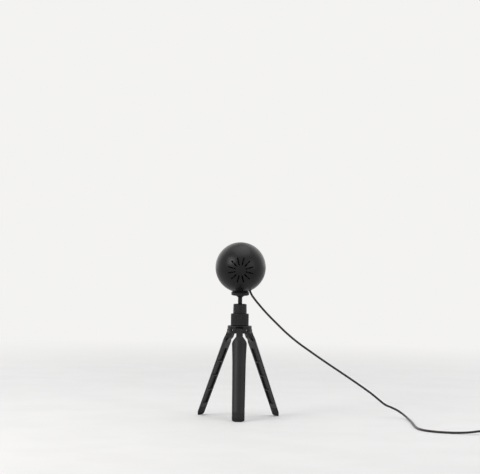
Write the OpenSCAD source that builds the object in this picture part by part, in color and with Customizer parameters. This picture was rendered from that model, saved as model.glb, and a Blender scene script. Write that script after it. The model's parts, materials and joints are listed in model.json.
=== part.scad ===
// Projection lamp: a ball-shaped head on a ball joint, over a small tripod with folding legs.
// Millimetres. +Z is up, the feet stand on Z = 0 and the lens looks towards +Y.
// The origin is on the surface, under the middle of the lamp's outline seen from above.

/* [Head] */
// Outer diameter of the ball-shaped head
head_d = 70; // [66:0.5:76]
// Diameter of the flat under the head
head_flat_d = 21; // [19:0.5:24]
// Wall of both head shells
shell_wall = 2.4; // [1.8:0.1:2.8]
// Thickness of the rear shell's rim where the two shells meet
rim_wall = 2.5; // [2:0.1:3]
// Distance from the head's centre forward to the joint between its shells
split_y = 13; // [12.6:0.1:15]
// Tilt of the head in the stored pose, front up
rest_tilt = 6; // [0:1:12]
// Length of each cooling slot in the back
vent_l = 9; // [6:0.5:10]
// Width of each cooling slot in the back
vent_w = 2; // [1.2:0.1:2.6]
// Radius at which the cooling slots start
vent_r = 8; // [7:0.5:10]
// Number of cooling slots
vent_count = 12; // [6:1:14]

/* [Optics] */
// Diameter of the projection lens
lens_d = 40; // [36:0.5:41]
// Thickness of the lens at its edge
lens_edge = 2.5; // [2:0.1:3.5]
// Radius of the lens's curved front
lens_curve = 36; // [32:0.5:45]
// Thickness of the colour filter
filter_t = 1; // [0.6:0.1:1.5]
// Height of the bezel in front of the shell
bezel_h = 2; // [1.5:0.1:3]
// Diameter of the light source
chip_d = 9; // [7:0.5:9.5]
// Diameter of the light source's board
led_board_d = 20; // [19:0.5:21]

/* [Inside the head] */
// Distance from the head's centre back to the heat sink's front face
sink_back = 9; // [8.5:0.5:11]
// Thickness of the heat sink's plate
sink_t = 5; // [3.5:0.5:6]
// Thickness of each cooling fin
fin_t = 1.6; // [1:0.1:2.2]
// Distance from one cooling fin to the next
fin_pitch = 5; // [4:0.5:6]
// Number of cooling fins
fin_count = 7; // [5:2:9]
// Length of the posts between the heat sink and the lens tube
post_l = 18; // [17.5:0.1:18.5]
// Diameter of those posts
post_d = 5; // [4.5:0.1:5.4]
// Depth of the boss for the stud, from the flat inwards
boss_h = 11.4; // [10:0.2:11.8]
// Diameter of that boss
boss_d = 13.8; // [13:0.2:14.2]
// Length of the threaded insert
insert_l = 7.5; // [6:0.5:8]
// Outer diameter of the threaded insert
insert_d = 9.6; // [8.8:0.2:10.4]

/* [Ball joint] */
// Diameter of the ball
ball_d = 12; // [11:0.2:12.4]
// Height of the ball's centre above the hub
ball_rise = 23.5; // [22.8:0.1:24.5]
// Diameter of the neck between the ball and the plate
neck_d = 6; // [5:0.2:6.4]
// Distance from the ball's centre up to the underside of the plate
neck_l = 16.6; // [15:0.2:20]
// Height of the plate's domed underside
plate_dome = 2.8; // [2:0.1:3.5]
// Height of the plate's rim
plate_rim = 4.2; // [3.5:0.1:6]
// Diameter of the plate under the head
plate_d = 24.8; // [22:0.2:25]
// Thickness of the pad between the plate and the head
pad_t = 1; // [0.6:0.1:1.5]
// Diameter of that pad
pad_d = 21; // [18:0.5:22]
// Diameter of the stud, a quarter-inch camera thread
stud_d = 6.2; // [5.8:0.1:6.3]
// Outer diameter of the ball's cup at its shoulder
cup_d = 19; // [18.4:0.2:21]
// Height of the cup above its shoulder
cup_h = 13.4; // [12.8:0.1:14]
// Furthest that the neck leans from upright
lean_limit = 30; // [25:1:32]

/* [Collar and hub] */
// Outer diameter of the locking collar
collar_d = 25; // [23:0.5:27]
// Depth of the collar's finger flutes
flute_depth = 0.35; // [0.2:0.05:0.5]
// Number of finger flutes
flute_count = 30; // [18:1:36]
// Diameter of the cup's post, which the collar turns on
post_outer_d = 16; // [15.6:0.1:17]
// Diameter of the cross pin that the collar drives
cross_pin_d = 2; // [1.6:0.1:2.4]
// How far the brake drops when the collar is slackened
brake_travel = 0.6; // [0.3:0.1:0.8]
// Diameter of the hub that the legs hang from
hub_d = 33.8; // [33:0.2:36]
// Depth of the hub below the leg pins
hub_below = 4.5; // [4.2:0.1:5.5]
// Height of the hub above the leg pins
hub_above = 6; // [5.4:0.1:6.2]
// Height of the spigot that carries the cup's post
spigot_h = 5; // [3:0.5:6]

/* [Legs] */
// Distance from the tripod's middle to each leg pin
pin_r = 12.5; // [12.4:0.1:13]
// Height of the leg pins above the surface
pin_z = 122; // [121.8:0.1:122.2]
// Diameter of the leg pins
pin_d = 3; // [2.5:0.1:3.4]
// Length of the leg pins
pin_l = 20; // [18:0.5:21]
// Angle between an open leg and upright
open_angle = 22; // [20:0.2:24]
// Width of the tongue at the top of a leg
tongue_w = 9.3; // [8.4:0.1:9.6]
// Thickness of that tongue
tongue_t = 8; // [7.6:0.1:8.2]
// Width of a leg at its shoulder
shoulder_w = 20.7; // [19.6:0.1:21.2]
// Width of a leg below the shoulder
leg_w = 19; // [17.6:0.2:19.4]
// Width of a leg at its foot
toe_w = 17.4; // [15.5:0.1:17.5]
// Thickness of a leg at its top
leg_t_top = 6.2; // [5.6:0.1:6.6]
// Thickness of a leg at its foot
leg_t_toe = 4.2; // [3.6:0.1:4.4]
// Radius of the rounded back of a leg
leg_round = 12.5; // [12:0.1:13.5]
// Depth of the pockets in a leg's inner face
pocket_depth = 1.6; // [0.8:0.1:1.8]
// Length of the flat sole, outwards from the leg's inner face
sole_l = 2.5; // [2:0.1:3]
// Length of the rubber foot along the leg
foot_l = 12.5; // [11:0.5:16]
// Radius of the rocker-shaped sole
sole_round = 25; // [22:1:40]

/* [Lead] */
// Diameter of the lead
cord_d = 3; // [2.6:0.1:3.2]
// Angle from the head's bottom to the place where the lead comes out
cord_angle = 22.4; // [22:0.1:24]
// Number of turns in the coil, half in each layer
coil_turns = 7; // [5:1:8]
// Distance from one turn of the coil to the next
coil_pitch = 3.15; // [3.12:0.01:3.2]
// Thickness of the strap round the coil
tie_t = 0.6; // [0.4:0.1:0.8]
// Width of that strap
tie_w = 5; // [4:0.5:6]

/* [Switch on the lead] */
// Length of the switch's case
switch_l = 54; // [52:1:55]
// Width of the switch's case
switch_w = 19; // [17:0.5:21]
// Height of the case's lower half
switch_h_low = 4.9; // [4.8:0.1:5.2]
// Height of the case's upper half
switch_h_up = 5.1; // [4.8:0.1:6]
// Wall of the switch's case
switch_wall = 2; // [1.6:0.1:2.2]
// Length of the button
button_l = 12; // [9:0.5:14]
// Width of the button
button_w = 8; // [6:0.5:9]
// Height of the button above the case
button_h = 1.4; // [1:0.1:2]
// How far the button goes in
button_travel = 0.9; // [0.5:0.1:0.9]

/* [Plug] */
// Length of the plug's moulded grip
grip_l = 27; // [22:0.5:30]
// Width of that grip
grip_w = 15.5; // [14:0.5:17]
// Height of that grip
grip_h = 8; // [7:0.2:9]
// Width of the plug's metal shell, the standard size
usb_w = 12; // [11.9:0.1:12.1]
// Height of that shell, the standard size
usb_h = 4.5; // [4.4:0.1:4.6]
// Length of that shell in front of the grip
usb_l = 12; // [11:0.5:14]
// Length of the sleeve between the lead and the grip
boot_l = 12; // [10:0.5:14]

/* [Hidden] */

$fn = 96;
eps = 0.5;          // how far a cut runs past the faces that it opens
fit = 0.05;         // running clearance, on the radius
loose = 0.1;        // assembly clearance, on the radius or between faces
play = 0.2;         // larger clearance between pieces that only lie near each other

// Directions of the three legs, seen from above, anticlockwise from +X
front_az = -90;
right_az = 30;
left_az = 150;
leg_directions = [front_az, right_az, left_az];

// Heights above the surface
hub_top = pin_z + hub_above;
hub_bottom = pin_z - hub_below;
ball_z = hub_top + ball_rise;

// Head, in its own upright frame with the ball's centre at the origin
head_r = head_d / 2;
dome_r = head_r - shell_wall;
flat_drop = sqrt(pow(head_r, 2) - pow(head_flat_d / 2, 2));
pad_bottom = neck_l + plate_dome + plate_rim;
plate_top = pad_bottom + pad_t;
head_up = plate_top + flat_drop;

// Head, along the beam: Z runs forward from the head's centre and Y points down
parting_gap = 0.25;
bore_r = sqrt(pow(head_r, 2) - pow(split_y, 2)) - rim_wall;
lens_r = lens_d / 2;
lens_holder_wall = 1.3;
thread_r = lens_r + play + lens_holder_wall + loose;
face_ring_w = 1.8;
face_r = thread_r + face_ring_w;
face_y = sqrt(pow(head_r, 2) - pow(face_r, 2));
face_ring_t = 2.6;
lens_inset = 4;
lens_back = face_y - lens_inset;
lens_sag = lens_curve - sqrt(pow(lens_curve, 2) - pow(lens_r, 2));
bezel_lip = 1.4;
bezel_chamfer = 0.6;
gasket_w = 1.1;
gasket_in = lens_r - gasket_w;
gasket_low = lens_back + lens_edge + lens_sag
    - lens_curve + sqrt(pow(lens_curve, 2) - pow(gasket_in, 2)) + loose;
sink_front = -sink_back;
sink_r = min(bore_r, sqrt(pow(dome_r, 2) - pow(sink_back + sink_t, 2))) - play;
fin_clear = 1;
led_board_t = 1.6;
chip_base_t = 0.6;
chip_dome = 0.9;
board_top = sink_front + led_board_t;
flange_back = sink_front + post_l;
flange_t = 2;
flange_front = flange_back + flange_t;
tube_wall = 1.9;
tube_r = lens_r + loose;
spigot_wall = 1.9;
spigot_y = flange_front + loose;
shell_step = 1.5;
cup_neck_r = chip_d / 2 + 0.7;
cup_wall = 1;
cup_neck_top = board_top + 1.9;
cup_rim_t = 1;
cup_mouth_r = lens_r - 3.4;
reflector_r = tube_r - 1.3;
boss_in = flat_drop - boss_h;
post_circle = bore_r - 5;
post_angles = [-90, 30, 150];
screw_r = 1.25;
screw_head_r = 2.3;
screw_head_h = 1.6;
screw_reach = 4;
led_screw_r = 1;
led_screw_head_r = 1.5;
led_screw_head_h = 1.2;
led_screw_x = led_board_d / 2 - 1.9;
led_screw_deep = 3;
wire_r = 0.5;
wire_span = 4;
wire_y = 2.6;

// Driver board, on two pillars beside the light source
driver_x = led_board_d / 2 + 2.5;
driver_size = [14, 14, 1.2];
driver_y = -8.5;
pillar_h = 2.5;
pillar_r = 1.2;
driver_z = sink_front + pillar_h;
driver_top = driver_z + driver_size[2];
socket_size = [5, 3.5, 3.4];
socket_x = driver_x + 2.5;
socket_y = driver_y + 10;
inductor = [5.5, 4.8];
inductor_size = [3, 3.2];
converter = [10, 4];
converter_size = [3, 4.5, 1.4];
capacitor = [11.5, 11.5];
capacitor_size = [1.6, 3];

// Lead and grommet in the head
grommet_neck_r = cord_d / 2 + 1;
grommet_out = 0.5;
grommet_lip_r = cord_d / 2 + 1.9;
grommet_round = 0.4;
grommet_end = bore_r - 1.8;
grommet_seat = sqrt(pow(bore_r, 2) - pow(grommet_lip_r, 2)) - loose;
exit_r = head_r + grommet_out;
cord_way = [sin(cord_angle), cos(cord_angle), 0];
inner_route = [[11, 19.6, -1.2], [13.4, 15, -2.5], [16.2, 10.5, -3.4]];

// Ball joint
ball_r = ball_d / 2;
cavity_r = ball_r + loose;
neck_r = neck_d / 2;
cup_shoulder_z = ball_z - 6.7;
cup_top_z = cup_shoulder_z + cup_h;
lip_h = 2.5;
mouth_top_h = cup_top_z - ball_z;
lip_r = lip_h * tan(lean_limit) + neck_r / cos(lean_limit) + play;
mouth_r = mouth_top_h * tan(lean_limit) + neck_r / cos(lean_limit) + play;
seat_top = ball_z - 3;
seat_bottom = ball_z - 10;
pad_top = seat_bottom - fit;
pin_height = pad_top - 2.45;
brake_bottom = pad_top - 4.95;
stud_reach = 6.4;

// Collar and hub
post_r = post_outer_d / 2;
collar_bottom = hub_top + loose;
collar_top = cup_shoulder_z - loose;
cross_pin_l = post_outer_d + 2;
collar_groove_r = cross_pin_l / 2 + 0.4;
collar_chamfer = 0.7;
hub_chamfer = 0.8;
washer_t = 0.5;
washer_r = pin_d / 2 + 2;
slot_half = tongue_w / 2 + washer_t + 2 * fit;
heel = tongue_t / 2 * sqrt(2);
slot_back = pin_r - heel * cos(45 - open_angle) - fit;
slot_roof = pin_z + tongue_t / 2 + 0.5;

// Legs, in a frame with the pin at the origin and the leg along -Z
leg_face = -0.27;
leg_drop = pin_z / cos(open_angle);
sole_heel = pin_r + pin_z * tan(open_angle) + leg_face / cos(open_angle);
foot_reach = sole_heel + sole_l;
neck_end = 10.5;
shoulder_end = 19.6;
waist = 34;
seam = leg_drop - foot_l;
back_top = leg_face + leg_t_top - leg_round;
back_toe = leg_face + leg_t_toe - leg_round;
back_angle = atan((back_top - back_toe) / (leg_drop - neck_end));
shoulder_fall = 0.95;
fall_angle = atan(shoulder_fall / (shoulder_end - neck_end));
fall_round = leg_round + 1;
peg_r = 1.1;
peg_l = 4;
pocket_count = 4;
pocket_start = 27;
pocket_rib = 1.5;
pocket_half = 6;
pocket_l = (seam - 6 - pocket_start) / pocket_count - pocket_rib;
sole_flat = 0.3;
toe_bend = 11;
toe_bend_z = 9;

// Depth of the tripod's middle behind the origin, which centres the outline
rear_reach = (foot_reach - leg_round + sqrt(pow(leg_round, 2) - pow(toe_w / 2, 2))) * sin(right_az)
    + toe_w / 2 * cos(right_az);
axis_y = (foot_reach - rear_reach) / 2;

// Route of the lead, from the head's grommet to the switch
cord_r = cord_d / 2;
lead_route = [
    [13.6, 10.5, 176.4], [14.8, 10.8, 173.6], [16.8, 11.1, 169.9], [22.5, 12.1, 162.4],
    [28, 13, 156], [34.5, 14, 148.7], [41.5, 15.2, 141.4], [53, 17.1, 130.2],
    [66, 19.2, 118], [82, 21.8, 105], [102, 25, 91], [123, 28.5, 76.8],
    [146, 32.2, 61.8], [168, 35.8, 47.2], [188, 39, 33.2], [205.5, 42.3, 19.3],
    [215.6, 43.8, 14.6], [224.4, 42, 10.6], [232, 33.5, 5.8], [236.6, 19, 2.3],
    [237.6, 4, 1.58], [238, -12, 1.52], [238, -33, 1.5], [237.7, -56, 1.5],
    [237.4, -80, 1.5], [238.2, -103, 1.5], [242, -122, 1.5], [250.5, -138, 1.5],
    [264, -149, 1.5], [281, -155, 1.6], [298, -157.5, 2.4], [311, -158, 4],
    [317, -158, 4.8], [322, -158, 4.9]
];
top_end = 6;        // last point of the part that follows the head
drop_end = 20;      // last point of the part in the air

// Switch, coil and plug on the surface, beside the lamp
switch_x = 356;
switch_y = -158;
switch_seat = 1.8;
boss_x = 20;
boss_y = 4.6;
bushing_l = switch_x - switch_l / 2 - lead_route[len(lead_route) - 1][0];
switch_board_size = [30, 12, 1];
push_switch_w = 6;
push_switch_h = 3;
coil_x = 377.5;
coil_y = -118;
coil_r = 22.5;
coil_wire_d = cord_d - 0.3;
coil_low = tie_t + coil_wire_d / 2 + 0.15;
coil_high = coil_low + coil_pitch;
coil_rings = 24;
tie_angle = 90;
feed_route = [
    [390, -158, 4.9], [391.5, -158, 4.9], [395, -157.1, 4.5], [398, -154.7, 3.8],
    [399.6, -150.8, 3], [400, -145.5, 2.3], [400, -138, 2.1], [400, -129.5, 2.1],
    [400, -121, 2.1]
];
tail_route = [
    [400, -115, 5.25], [400, -113.5, 5.25], [400, -108, 4.5], [399.6, -102, 3.1],
    [398.2, -95.5, 2], [395.2, -89, 1.6], [391, -83.7, 2.2], [387, -81, 3.4],
    [384, -80, 4], [382, -80, 4]
];
plug_x = 382;
plug_y = -80;
plug_z = grip_h / 2;
boot_r = 3.3;
boot_rings = 5;
contact_size = [8, 1, 0.15];
usb_wall = 0.3;
usb_window = 2.2;
tongue_h = 1.9;

// ---------------------------------------------------------------- frames and shared shapes

module on_axis() {
    translate([0, axis_y, 0]) children();
}

module on_ball() {
    translate([0, axis_y, ball_z]) rotate([rest_tilt, 0, 0]) children();
}

module in_head() {
    on_ball() translate([0, 0, head_up]) children();
}

// Local +Z looks forward along the beam, and local +Y points at the head's bottom
module in_beam() {
    in_head() rotate([-90, 0, 0]) children();
}

// The leg's own frame: the pin along Y at the origin, the outside towards +X
module at_leg(az) {
    on_axis() rotate([0, 0, az]) translate([pin_r, 0, pin_z]) children();
}

module open_leg(az) {
    at_leg(az) rotate([0, -open_angle, 0]) children();
}

module ring(outer, inner, h) {
    difference() {
        cylinder(r = outer, h = h);
        translate([0, 0, -eps]) cylinder(r = inner, h = h + 2 * eps);
    }
}

// A bar along Y, centred on the origin
module cross_bar(r, l) {
    rotate([-90, 0, 0]) translate([0, 0, -l / 2]) cylinder(r = r, h = l);
}

// A flat slab centred in X and Y, with its upright edges rounded
module slab(l, w, h, r) {
    linear_extrude(height = h) {
        square([l - 2 * r, w], center = true);
        square([l, w - 2 * r], center = true);
        for (x = [-1, 1], y = [-1, 1])
            translate([x * (l / 2 - r), y * (w / 2 - r)]) circle(r = r);
    }
}

function unit(v) = v / norm(v);

// A smooth curve through the points of a route, n steps to a span
function blend(a, b, c, d, t) =
    0.5 * (2 * b + (c - a) * t + (2 * a - 5 * b + 4 * c - d) * t * t
        + (3 * b - a - 3 * c + d) * t * t * t);
function smooth(p, n) = [
    for (i = [0 : len(p) - 2], j = [0 : n - 1])
        blend(p[max(i - 1, 0)], p[i], p[i + 1], p[min(i + 2, len(p) - 1)], j / n),
    p[len(p) - 1]
];
function length(p, i = 0) = i >= len(p) - 1 ? 0 : norm(p[i + 1] - p[i]) + length(p, i + 1);
function heading(p, i) = unit(p[min(i + 1, len(p) - 1)] - p[max(i - 1, 0)]);

// A round tube along the points of a path from first to last, closed at both ends
module tube(p, r, sides, first = 0, last = undef) {
    end = is_undef(last) ? len(p) - 1 : last;
    n = end - first + 1;
    points = [
        for (i = [first : end])
            let (t = heading(p, i), s = unit(cross(t, [0, 0, 1])), u = cross(s, t))
            for (k = [0 : sides - 1])
                p[i] + r * (cos(360 * k / sides) * s + sin(360 * k / sides) * u)
    ];
    walls = [
        for (i = [0 : n - 2], k = [0 : sides - 1])
            let (a = i * sides + k, b = i * sides + (k + 1) % sides)
            each [[a, b, b + sides], [a, b + sides, a + sides]]
    ];
    caps = [
        for (k = [1 : sides - 2])
            each [[0, k + 1, k], [(n - 1) * sides, (n - 1) * sides + k, (n - 1) * sides + k + 1]]
    ];
    polyhedron(points = points, faces = concat(walls, caps));
}

// ---------------------------------------------------------------- tripod

module hub() {
    color("#17171a") on_axis() difference() {
        union() {
            translate([0, 0, hub_bottom]) cylinder(d = hub_d, h = hub_top - hub_bottom - hub_chamfer);
            translate([0, 0, hub_top - hub_chamfer])
                cylinder(r1 = hub_d / 2, r2 = hub_d / 2 - hub_chamfer, h = hub_chamfer);
            translate([0, 0, hub_top - eps]) cylinder(r = ball_r, h = spigot_h + eps);
        }
        for (az = leg_directions) rotate([0, 0, az]) {
            translate([slot_back, -slot_half, hub_bottom - eps])
                cube([hub_d, 2 * slot_half, slot_roof - hub_bottom + eps]);
            translate([pin_r, 0, pin_z]) cross_bar(pin_d / 2 + fit / 2, hub_d);
        }
    }
}

module socket_cup() {
    color("#1d1d20") on_axis() difference() {
        rotate_extrude() polygon([
            [0, hub_top], [post_r, hub_top], [post_r, cup_shoulder_z], [cup_d / 2, cup_shoulder_z],
            [cup_d / 2, cup_shoulder_z + 4], [cup_d / 2 - 0.25, cup_top_z - 0.7],
            [cup_d / 2 - 0.95, cup_top_z], [0, cup_top_z]
        ]);
        translate([0, 0, hub_top - eps]) cylinder(r = cavity_r, h = ball_z - hub_top + eps);
        translate([0, 0, ball_z]) sphere(r = cavity_r);
        translate([0, 0, ball_z + lip_h])
            cylinder(r1 = lip_r, r2 = mouth_r, h = mouth_top_h - lip_h);
        translate([0, 0, cup_top_z - loose]) cylinder(r = mouth_r, h = eps);
        translate([0, 0, ball_z]) cylinder(r = lip_r, h = lip_h + loose);
        // the cross pin's slot through both sides of the post
        for (z = [pin_height - brake_travel, pin_height]) translate([0, 0, z])
            cross_bar(cross_pin_d / 2 + loose, 2 * post_r + 2);
        translate([-cross_pin_d / 2 - loose, -post_r - 1, pin_height - brake_travel])
            cube([cross_pin_d + 2 * loose, 2 * post_r + 2, brake_travel]);
    }
}

module leg_pins() {
    color("#8d8f93") for (az = leg_directions) at_leg(az) cross_bar(pin_d / 2, pin_l);
}

module leg_washers() {
    color("#1a1a1c") for (az = leg_directions, side = [-1, 1])
        at_leg(az) translate([0, side * (tongue_w / 2 + fit + washer_t / 2), 0])
            rotate([90, 0, 0]) translate([0, 0, -washer_t / 2])
                ring(washer_r, pin_d / 2 + fit, washer_t);
}

// Width of the leg, from the tongue down to the foot, as half of its outline
function leg_outline(s_end) = [
    [tongue_w / 2, -neck_end], [shoulder_w / 2 - 1, -shoulder_end + 3],
    [shoulder_w / 2, -shoulder_end], [leg_w / 2 + 0.25, -waist], [leg_w / 2 - 0.15, -waist - 12],
    [toe_w / 2, -seam], [toe_w / 2, -s_end]
];

// The leg's body: its outline, rounded over the back, which falls away from the shoulder up to the
// tongue
module leg_blank(s_end) {
    half = leg_outline(s_end);
    flipped = [for (i = [len(half) - 1 : -1 : 0]) [-half[i][0], half[i][1]]];
    intersection() {
        translate([leg_face, 0, 0]) rotate([90, 0, 90])
            linear_extrude(height = 3 * leg_t_top) polygon(concat(half, flipped));
        translate([back_top, 0, -neck_end]) rotate([0, back_angle, 0])
            translate([0, 0, -s_end - eps]) cylinder(r = leg_round, h = s_end + 2 * eps + neck_end);
        translate([back_top + leg_round - fall_round, 0, -shoulder_end]) rotate([0, -fall_angle, 0])
            translate([0, 0, -s_end]) cylinder(r = fall_round, h = s_end + 2 * shoulder_end);
    }
}

module leg(az) {
    half_t = tongue_t / 2;
    color("#161618") open_leg(az) difference() {
        union() {
            rotate([90, 0, 0]) translate([0, 0, -tongue_w / 2]) linear_extrude(height = tongue_w) {
                circle(r = half_t);
                polygon([
                    [-half_t, half_t], [0, half_t], [half_t, 0], [half_t, -neck_end - 2],
                    [leg_face + 0.4, -shoulder_end + 1], [leg_face, -shoulder_end + 1],
                    [-half_t, -neck_end]
                ]);
            }
            intersection() {
                leg_blank(seam);
                translate([-leg_round, -shoulder_w, -seam])
                    cube([3 * leg_round, 2 * shoulder_w, seam]);
            }
            translate([leg_face + leg_t_toe / 2, 0, -seam - peg_l])
                cylinder(r = peg_r, h = peg_l + 1);
        }
        cross_bar(pin_d / 2 + fit, 2 * tongue_w);
        for (i = [0 : pocket_count - 1])
            translate([leg_face - 1, -pocket_half, -pocket_start - (i + 1) * (pocket_l + pocket_rib)])
                cube([pocket_depth + 1, 2 * pocket_half, pocket_l]);
    }
}

// Rubber foot: the leg's own section, bent upright at the toe, on a rocker-shaped sole
module foot(az) {
    toe_r = foot_reach - leg_round;
    color("#0f0f10") difference() {
        intersection() {
            open_leg(az) intersection() {
                leg_blank(leg_drop + 2 * leg_round);
                translate([-leg_round, -shoulder_w, -leg_drop - 3 * leg_round])
                    cube([3 * leg_round, 2 * shoulder_w, 3 * leg_round + foot_l]);
            }
            on_axis() rotate([0, 0, az]) translate([toe_r, 0, 0])
                cylinder(r = leg_round, h = 2 * foot_l);
            on_axis() rotate([0, 0, az]) translate([toe_r, 0, toe_bend_z / 2])
                rotate([0, -toe_bend, 0]) translate([0, 0, -2 * foot_l])
                    cylinder(r = leg_round, h = 4 * foot_l);
            on_axis() rotate([0, 0, az]) translate([toe_r, 0, sole_round - sole_flat])
                rotate([0, 90, 0]) translate([0, 0, -2 * leg_round])
                    cylinder(r = sole_round, h = 4 * leg_round);
        }
        open_leg(az) translate([leg_face + leg_t_toe / 2, 0, -seam - peg_l - loose])
            cylinder(r = peg_r + fit, h = peg_l + 1);
    }
}

// ---------------------------------------------------------------- ball joint and collar

module lock_collar() {
    color("#151517") on_axis() difference() {
        rotate_extrude() polygon([
            [post_r + loose, collar_bottom], [collar_d / 2 - collar_chamfer, collar_bottom],
            [collar_d / 2, collar_bottom + collar_chamfer],
            [collar_d / 2, collar_top - collar_chamfer],
            [collar_d / 2 - collar_chamfer, collar_top], [post_r + loose, collar_top]
        ]);
        // the groove that carries the cross pin's ends
        translate([0, 0, pin_height - brake_travel - cross_pin_d / 2 - play])
            cylinder(r = collar_groove_r, h = brake_travel + cross_pin_d + 2 * play);
        for (i = [0 : flute_count - 1]) rotate([0, 0, 360 * i / flute_count])
            translate([collar_d / 2 + 1 - flute_depth, 0, collar_bottom + 2])
                cylinder(r = 1, h = collar_top - collar_bottom - 4, $fn = 24);
    }
}

module brake_pad() {
    color("#c9c4b4") on_axis() difference() {
        translate([0, 0, brake_bottom]) cylinder(r = ball_r, h = pad_top - brake_bottom);
        translate([0, 0, pin_height]) cross_bar(cross_pin_d / 2 + fit / 2, 3 * ball_r);
    }
}

module brake_pin() {
    color("#9a9ca0") on_axis() translate([0, 0, pin_height]) cross_bar(cross_pin_d / 2, cross_pin_l);
}

module ball_seat() {
    color("#e4e0d4") on_axis() difference() {
        translate([0, 0, seat_bottom]) cylinder(r = ball_r, h = seat_top - seat_bottom);
        translate([0, 0, ball_z]) sphere(r = cavity_r);
    }
}

module ball_stud() {
    color("#2a2a2d") on_ball() {
        sphere(r = ball_r);
        cylinder(r = neck_r, h = pad_bottom);
        translate([0, 0, pad_bottom - 1]) cylinder(d = stud_d, h = pad_t + stud_reach + 1);
    }
}

module mount_plate() {
    rim_r = plate_d / 2;
    dome_top = neck_l + plate_dome;
    color("#1a1a1c") on_ball() difference() {
        rotate_extrude() polygon([
            [0, neck_l], [neck_r + 1.1, neck_l], [neck_r + 2.3, neck_l + 0.5 * plate_dome],
            [rim_r - 4, neck_l + 0.85 * plate_dome], [rim_r - 0.5, dome_top],
            [rim_r, dome_top + 0.5], [rim_r, pad_bottom - 0.5], [rim_r - 0.5, pad_bottom],
            [0, pad_bottom]
        ]);
        translate([0, 0, neck_l - eps])
            cylinder(r = neck_r + fit / 2, h = pad_bottom - 1 - neck_l + eps);
        translate([0, 0, pad_bottom - 1 - loose])
            cylinder(r = max(stud_d / 2, neck_r) + fit / 2, h = 1 + loose + eps);
    }
}

module plate_pad() {
    color("#0e0e0f") on_ball() translate([0, 0, pad_bottom])
        ring(pad_d / 2, max(stud_d / 2, neck_r) + loose, pad_t);
}

module threaded_insert() {
    color("#b08d4a") on_ball() translate([0, 0, plate_top + 0.3])
        ring(insert_d / 2, stud_d / 2 + fit, insert_l);
}

// ---------------------------------------------------------------- head shells

module rear_shell() {
    color("#19191b") in_beam() difference() {
        intersection() {
            // stands on its pole, so that the back between the slots is one smooth face
            rotate([90, 0, 0]) sphere(r = head_r, $fn = 160);
            translate([0, 0, -head_r - 1]) cylinder(r = head_r + 1, h = head_r + 1 + split_y);
        }
        // the flat that stands on the plate
        translate([-head_r, flat_drop, -head_r]) cube([head_d, head_r, head_d]);
        difference() {
            union() {
                intersection() {
                    sphere(r = dome_r, $fn = 160);
                    translate([0, 0, -head_r]) cylinder(r = bore_r, h = head_r);
                }
                cylinder(r = bore_r, h = split_y + eps);
            }
            translate([0, boss_in, 0]) rotate([-90, 0, 0]) cylinder(d = boss_d, h = head_r);
        }
        translate([0, flat_drop - insert_l - 0.6, 0]) rotate([-90, 0, 0])
            cylinder(r = insert_d / 2 + fit / 2, h = head_r);
        rotate([0, 0, -cord_angle]) rotate([-90, 0, 0]) translate([0, 0, bore_r - 3])
            cylinder(r = grommet_neck_r + fit, h = head_r);
        for (i = [0 : vent_count - 1]) rotate([0, 0, 360 * (i + 0.5) / vent_count]) {
            translate([vent_r, -vent_w / 2, -head_r - eps]) cube([vent_l, vent_w, head_r / 3]);
            for (x = [vent_r, vent_r + vent_l])
                translate([x, 0, -head_r - eps]) cylinder(d = vent_w, h = head_r / 3, $fn = 24);
        }
    }
}

module front_shell() {
    shell_back = split_y + parting_gap;
    color("#19191b") in_beam() difference() {
        union() {
            intersection() {
                sphere(r = head_r, $fn = 160);
                translate([0, 0, shell_back]) cylinder(r = head_r, h = face_y - shell_back);
            }
            translate([0, 0, spigot_y])
                cylinder(r = bore_r - loose, h = split_y + shell_step - spigot_y);
        }
        translate([0, 0, spigot_y - eps])
            cylinder(r = bore_r - loose - spigot_wall, h = split_y + shell_step - spigot_y + eps);
        intersection() {
            sphere(r = dome_r, $fn = 160);
            translate([0, 0, split_y + shell_step])
                cylinder(r = head_r, h = face_y - face_ring_t - split_y - shell_step);
        }
        translate([0, 0, split_y]) cylinder(r = thread_r, h = head_r);
    }
}

module lens_bezel() {
    rim_r = face_r - play;
    top = face_y + bezel_h;
    lip_r = lens_r - bezel_lip;
    sleeve_r = thread_r - loose;
    color("#0f0f11") in_beam() rotate_extrude() polygon([
        [lens_r + play, lens_back + 0.5], [sleeve_r, lens_back + 0.5], [sleeve_r, face_y],
        [rim_r, face_y], [rim_r, top - bezel_chamfer], [rim_r - bezel_chamfer, top],
        [lip_r + bezel_chamfer, top], [lip_r, top - bezel_chamfer], [lip_r, face_y],
        [lens_r + play, face_y]
    ]);
}

// ---------------------------------------------------------------- optics

module projection_lens() {
    color([0.8, 0.88, 0.9, 0.5]) in_beam() translate([0, 0, lens_back]) intersection() {
        cylinder(r = lens_r, h = lens_curve);
        translate([0, 0, lens_edge + lens_sag - lens_curve]) sphere(r = lens_curve, $fn = 160);
    }
}

module lens_gasket() {
    color("#2b2b2b") in_beam() translate([0, 0, gasket_low])
        ring(lens_r + loose, gasket_in, face_y - gasket_low);
}

module lens_tube() {
    color("#222226") in_beam() difference() {
        union() {
            translate([0, 0, flange_back]) cylinder(r = tube_r, h = lens_back - fit - flange_back);
            translate([0, 0, flange_back]) cylinder(r = bore_r - play, h = flange_t);
        }
        translate([0, 0, flange_back - eps]) cylinder(r = tube_r - tube_wall, h = head_r);
        for (a = post_angles) rotate([0, 0, a]) translate([post_circle, 0, flange_back - eps])
            cylinder(r = screw_r + loose, h = flange_t + 2 * eps);
    }
}

module colour_filter() {
    color([0.95, 0.4, 0.15, 0.7]) in_beam() translate([0, 0, flange_back + fit])
        cylinder(r = tube_r - tube_wall - play, h = filter_t);
}

module filter_ring() {
    color("#7d7f82") in_beam() translate([0, 0, flange_back + 2 * fit + filter_t])
        ring(tube_r - tube_wall - fit, tube_r - tube_wall - 1.8, 0.9);
}

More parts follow.
